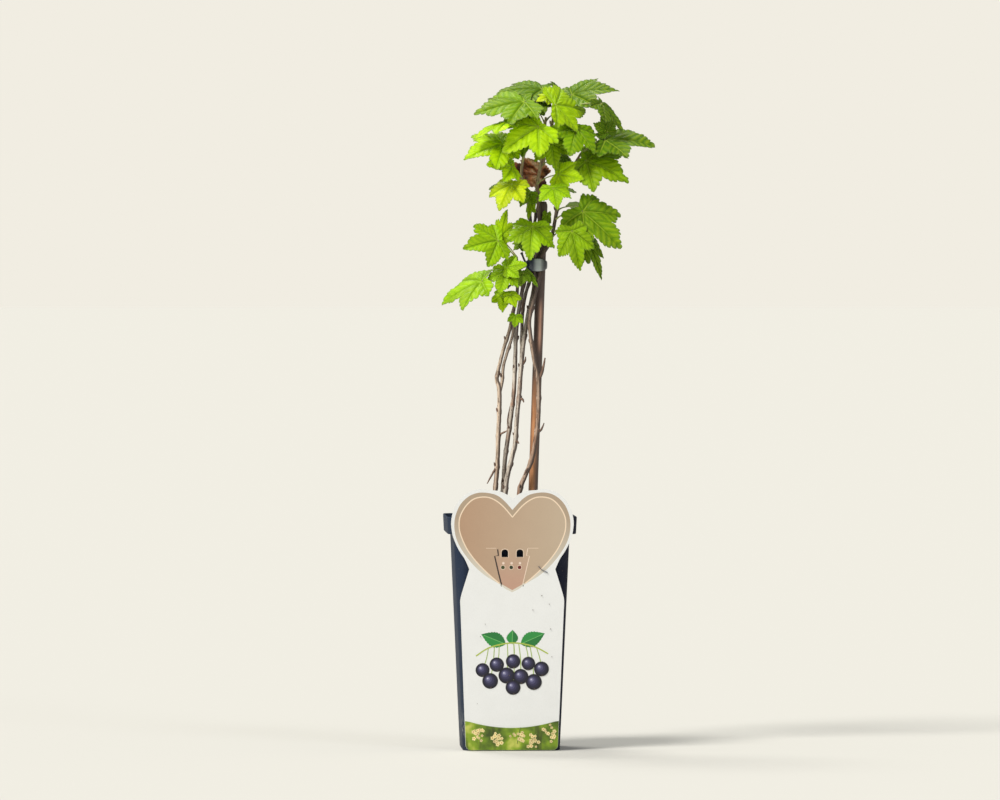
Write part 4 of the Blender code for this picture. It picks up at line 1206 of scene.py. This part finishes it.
class Card(Soup):
    """Flat plates in the card's own frame: x to the right, height up, depth out of its face."""

    def __init__(self):
        super().__init__()
        lean = atan2(CARD_FOOT[1] - CARD_AT_COLLAR[1], CARD_AT_COLLAR[2] - CARD_FOOT[2])
        self.place = Matrix.Translation(Vector(CARD_FOOT) * MM) @ Matrix.Rotation(pi / 2 + lean, 4, "X")
        self.layer = 0

    def plate(self, loops, low, high, tint, material=0):
        """A plate with the later loops as holes, tinted by one colour or by a rule for each point."""
        flat = [[Vector((x, height, 0)) for x, height in loop] for loop in loops]
        points = [point for loop in flat for point in loop]
        count = len(points)
        verts = [self.place @ (Vector((point.x, point.y, depth)) * MM)
                 for depth in (low, high) for point in points]
        faces = []
        for a, b, c in tessellate_polygon(flat):
            faces += [(a, b, c), (a + count, c + count, b + count)]
        start = 0
        for loop in loops:
            for i in range(len(loop)):
                a, b = start + i, start + (i + 1) % len(loop)
                faces.append((a, b, b + count, a + count))
            start += len(loop)
        tints = [tint(point.x, point.y) for point in points] if callable(tint) else [srgb(*tint)] * count
        self.add(verts, faces, material, tint=tints * 2)

    def ink(self, loops, tint, material=0):
        """One more printed layer on the face."""
        self.layer += 1
        face = CARD_THICKNESS / 2
        self.plate(loops, face - 0.05, face + INK * self.layer, tint, material)

    def line(self, path, width, tint):
        self.ink([stroke(path, width)], tint)

    def dot(self, x, height, radius, steps, tint):
        self.ink([circle(x, height, radius, steps)], tint)


def heart_brown(x, height):
    """Warm brown, paler towards the right."""
    return mixed(srgb(178, 145, 118), srgb(190, 171, 148), share_between(x, -50, 50))


def rim_brown(x, height):
    """The heart's border, brown along the top and fading to cream below."""
    return mixed(srgb(214, 208, 194), srgb(174, 154, 132), share_between(height, 155, 215))


def tongue_brown(x, height):
    """The heart's brown, turning pinkish towards the tip of the tongue."""
    return mixed(heart_brown(x, height), srgb(190, 150, 130), share_between(height, 186, 148))


def print_heart(card, holes):
    """The brown heart with its border and fine line, the tongue, and the marks round the windows."""
    border = curve2d(HEART_PRINT)
    card.ink([border + mirrored(border[-2:0:-1])] + holes, rim_brown)
    inner = curve2d(HEART_LINE)
    card.ink([inner + mirrored(inner[:0:-1])] + holes, heart_brown)
    card.ink([TONGUE + tuple(mirrored(TONGUE[::-1]))] + holes, tongue_brown)
    card.line(mirrored(inner[:0:-1]) + inner, 1.1, (236, 214, 188))
    for middle in (-WINDOW_MIDDLE, WINDOW_MIDDLE):
        card.line([(x + middle, height) for x, height in WINDOW_RIM], 0.5, (226, 206, 186))
    # A painted shadow in the gap of the left slit
    card.line(SLIT_SHADOW, 1.3, (58, 46, 42))
    card.line(SLIT_PALE, 0.7, (232, 210, 190))
    for start in BARS_AT:
        card.line([(start, BAR_HEIGHT), (start + BAR_LENGTH, BAR_HEIGHT)], 0.45, (226, 204, 180))
    for x, colour in zip(DOTS_AT, DOT_COLOURS):
        card.dot(x, DOT_HEIGHT, 2.2, 24, (222, 200, 178))
        card.dot(x, DOT_HEIGHT, 1.7, 24, colour)
        card.dot(x + 0.4, DOT_HEIGHT + 3.9, 1.2, 16, (226, 206, 190))


def printed_leaf(card, x, height, angle, length, width):
    """A toothed leaf in two greens with a pale rib, its stalk end at x and height."""
    cosine, sine = cos(radians(angle)), sin(radians(angle))

    def turned(along, across):
        return x + along * cosine - across * sine, height + along * sine + across * cosine

    rib = [turned(length * i / 10, 0) for i in range(11)]
    for side, colour in ((1, (40, 138, 60)), (-1, (28, 116, 52))):
        edge = []
        for i in range(41):
            share = i / 40
            tooth = 1 + 0.16 * (i * 0.25 % 1)
            edge.append(turned(length * share, side * width * sin(pi * share ** 0.8) * tooth))
        card.ink([edge + rib[-2:0:-1]], colour)
    card.line(rib[:-1], 0.5, (112, 186, 104))


def printed_berry(card, x, height, radius):
    """A dark round berry with a soft highlight up and to the left."""
    for share, shift, colour in BERRY_SHADES:
        card.dot(x - shift * radius, height + shift * radius, share * radius, 40, colour)
    card.dot(x + 0.1 * radius, height - 0.86 * radius, 0.1 * radius, 12, (70, 58, 52))


def print_picture(card):
    """Ten dark berries in two rows hanging from an arched twig with three leaves."""
    for leaf in PRINTED_LEAVES:
        printed_leaf(card, *leaf)
    twig = curve2d(PRINTED_TWIG)
    for x, height, radius in PRINTED_BERRIES:
        top = min(twig, key=lambda point: abs(point[0] - 0.8 * x))
        bend = (top[0] + x) / 2 + 0.8, (top[1] + height) / 2
        card.line(curve2d([top, bend, (x, height)]), 0.7, (150, 176, 72))
    card.line(twig, 1.2, (170, 186, 78))
    for berry in PRINTED_BERRIES:
        printed_berry(card, *berry)


def print_band(card, draws):
    """The green band along the foot with clusters of cream blossoms."""
    top = [(x, BAND_HEIGHT + BAND_DIP * (x / 41) ** 2) for x in range(41, -42, -2)]
    corner = arc(CARD_CORNER_CENTRE, (CARD_CORNER - 0.2, CARD_CORNER - 0.2), -90, 0, 8)
    side = (CARD_FOOT_HALF_WIDTH + 0.5, BAND_HEIGHT + BAND_DIP)
    card.ink([mirrored(corner[::-1]) + corner + [side] + top[1:-1] + mirrored([side])], (96, 148, 40), 1)
    for x, height in CLUSTERS:
        card.line(curve2d([(x + 2, height + 8), (x, height), (x - 1, height - 7)]), 0.6, (92, 120, 40))
        for _ in range(BLOSSOMS_IN_CLUSTER):
            spot = Vector((x + draws.gauss(0, 2.9), height + draws.gauss(0, 2.8)))
            size = draws.uniform(1.0, 1.8)
            petals = [spot + size * (1 + 0.22 * cos(5 * tau * i / 20)) * Vector(way)
                      for i, way in enumerate(circle(0, 0, 1, 20))]
            tone = draws.uniform(0.88, 1.05)
            card.ink([petals], toned(BLOSSOM_TONE, tone))
            card.dot(*spot, size * 0.38, 10, toned(BLOSSOM_MIDDLE_TONE, tone))


def make_label():
    """The card with its windows, slits and prints, a few specks, a stray thread, and the strap behind."""
    draws = random.Random("label")
    card = Card()
    window = arc((0, WINDOW_SHOULDER), (WINDOW_HALF, WINDOW_TOP - WINDOW_SHOULDER), 0, 180, 12)
    window += [(-WINDOW_HALF, WINDOW_BASE), (WINDOW_HALF, WINDOW_BASE)]
    holes = [[(x + middle, height) for x, height in window] for middle in (-WINDOW_MIDDLE, WINDOW_MIDDLE)]
    half = CARD_THICKNESS / 2
    card.plate([card_outline()] + holes + [SLIT, mirrored(SLIT)], -half, half, CARD_WHITE)
    print_heart(card, holes)
    print_picture(card)
    print_band(card, draws)
    for _ in range(SPECKS):
        card.dot(draws.uniform(-38, 38), draws.uniform(28, 150), draws.uniform(0.2, 0.45), 8, SPECK_TONE)
    card.line(curve2d(THREAD), 0.45, (86, 88, 104))
    # The strap has a flat top over the collar and one leg down inside the pot
    card.place = Euler((pi / 2, 0, pi / 2)).to_matrix().to_4x4()
    card.plate([STRAP], -STRAP_HALF_WIDTH, STRAP_HALF_WIDTH, CARD_WHITE)
    card.make("label_card", "label", card_material(), band_material(), weld=True)


def card_material():
    """Coated card under its ink, with faint mottling and a fine tooth."""
    material, tree = new_material("printed_card", 0.45)
    cloud = grain(tree, 55.0, 4.0)
    fibres = grain(tree, 1300.0, 4.0, 0.6, (1, 1, 0.5))
    tint = attribute(tree, "tint", "Color")
    colour = blend(spread(cloud, 0.35, 0.7, 0.0, 0.3), tint, (0.92, 0.92, 0.91, 1.0), "MULTIPLY")
    colour = stain(colour, fibres, 0.45, 0.75, 0.05, (120, 110, 98))
    return painted(material, colour, spread(cloud, 0.3, 0.7, 0.38, 0.55), fibres, 0.12, 0.15 * MM)


def band_material():
    """A blurred meadow: soft patches of bright and deep green with dark upright stems."""
    material, tree = new_material("printed_meadow", 0.4)
    colour = ramp(grain(tree, 70.0, 3.0, 0.5), (0.32, (60, 78, 20)), (0.47, (102, 130, 26)),
                  (0.6, (134, 162, 34)), (0.72, (192, 196, 90)))
    stems = grain(tree, 130.0, 3.0, 0.5, (1, 1, 0.12))
    return painted(material, stain(colour, stems, 0.6, 0.7, 0.6, (48, 44, 22)))


# Dry leaf

def make_dry_leaf():
    soup = Soup()
    add_leaf(soup, DRY_LEAF, random.Random("dry_leaf"), DRY_CRUMPLE)
    material = dry_material()
    soup.make("dry_leaf_blade", "dry_leaf", material, material)


def dry_material():
    """Withered blade of red-brown, with painted shade in its folds, painted pale tan highlights on its papery
    ridges, painted patches of orange light and a fine dark grain.
    """
    material, tree = new_material("withered_leaf", 0.55)
    ridge = spread(attribute(tree, "crest"), -0.5, 0.6)
    fine = grain(tree, 520.0, 4.0, 0.6)
    # Painted light from the crumpling: dark shade in the folds, pale tan highlights on the crests
    colour = ramp(ridge, (0.15, (76, 34, 26)), (0.42, (134, 66, 42)), (0.6, (204, 124, 84)),
                  (0.82, (255, 214, 178)))
    # Painted patches of orange light
    colour = stain(colour, grain(tree, 64.0, 2.0), 0.48, 0.6, 0.7, (246, 168, 118))
    colour = stain(colour, fine, 0.4, 0.7, 0.5, (64, 30, 22))
    return painted(material, colour, spread(fine, 0.3, 0.7, 0.25, 0.55), fine, 0.4)


# Camera, light and floor

def face_middle(obj, azimuth, elevation):
    """Turn a camera or a sun to look from an azimuth and elevation, and give the direction back to it."""
    azimuth, elevation = radians(azimuth), radians(elevation)
    back = Vector((sin(azimuth) * cos(elevation), -cos(azimuth) * cos(elevation), sin(elevation)))
    obj.rotation_mode = "QUATERNION"
    obj.rotation_quaternion = (-back).to_track_quat("-Z", "Y")
    return back


def make_camera():
    camera = add_object("camera", bpy.data.cameras.new("camera"))
    bpy.context.scene.camera = camera
    back = face_middle(camera, CAMERA_AZIMUTH, CAMERA_ELEVATION)
    camera.location = CAMERA_TARGET + CAMERA_DISTANCE * back
    camera.data.sensor_width = SENSOR_WIDTH
    camera.data.lens = SENSOR_WIDTH * CAMERA_DISTANCE / FRAME_WIDTH
    camera.data.clip_start = 0.1
    camera.data.clip_end = 100.0


def make_suns():
    for name, azimuth, elevation, strength, colour in SUNS:
        sun = add_object(name, bpy.data.lights.new(name, "SUN"))
        sun.data.energy = strength
        sun.data.color = colour
        sun.data.angle = SUN_ANGLE
        sun.location = SUN_DISTANCE * face_middle(sun, azimuth, elevation)


def make_world():
    """The camera sees the pale backdrop; everything else is lit by a dimmer sky."""
    world = bpy.data.worlds.new("world")
    world.use_nodes = True
    tree = world.node_tree
    backdrop = tree.nodes["Background"]
    feed(backdrop.inputs["Color"], BACKDROP)
    sky = node(tree, "Background", (AMBIENT_COLOUR, AMBIENT))
    seen = node(tree, "LightPath").outputs["Is Camera Ray"]
    mix = node(tree, "MixShader", (seen, sky.outputs[0], backdrop.outputs[0]))
    feed(tree.nodes["World Output"].inputs["Surface"], mix.outputs[0])
    bpy.context.scene.world = world


def make_floor():
    bm = bmesh.new()
    bmesh.ops.create_circle(bm, cap_ends=True, segments=FLOOR_POINTS, radius=FLOOR_RADIUS)
    mesh = bpy.data.meshes.new("floor")
    bm.to_mesh(mesh)
    bm.free()
    floor = add_object("floor", mesh)
    material, _ = new_material("floor", 1.0, Specular_IOR_Level=0.0)
    mesh.materials.append(painted(material, FLOOR_COLOUR))


bpy.context.scene.view_settings.view_transform = "Standard"
make_camera()
make_world()
make_suns()
make_floor()
make_pot()
make_soil()
make_stake()
make_tie()
make_label()
make_canes()
make_dry_leaf()
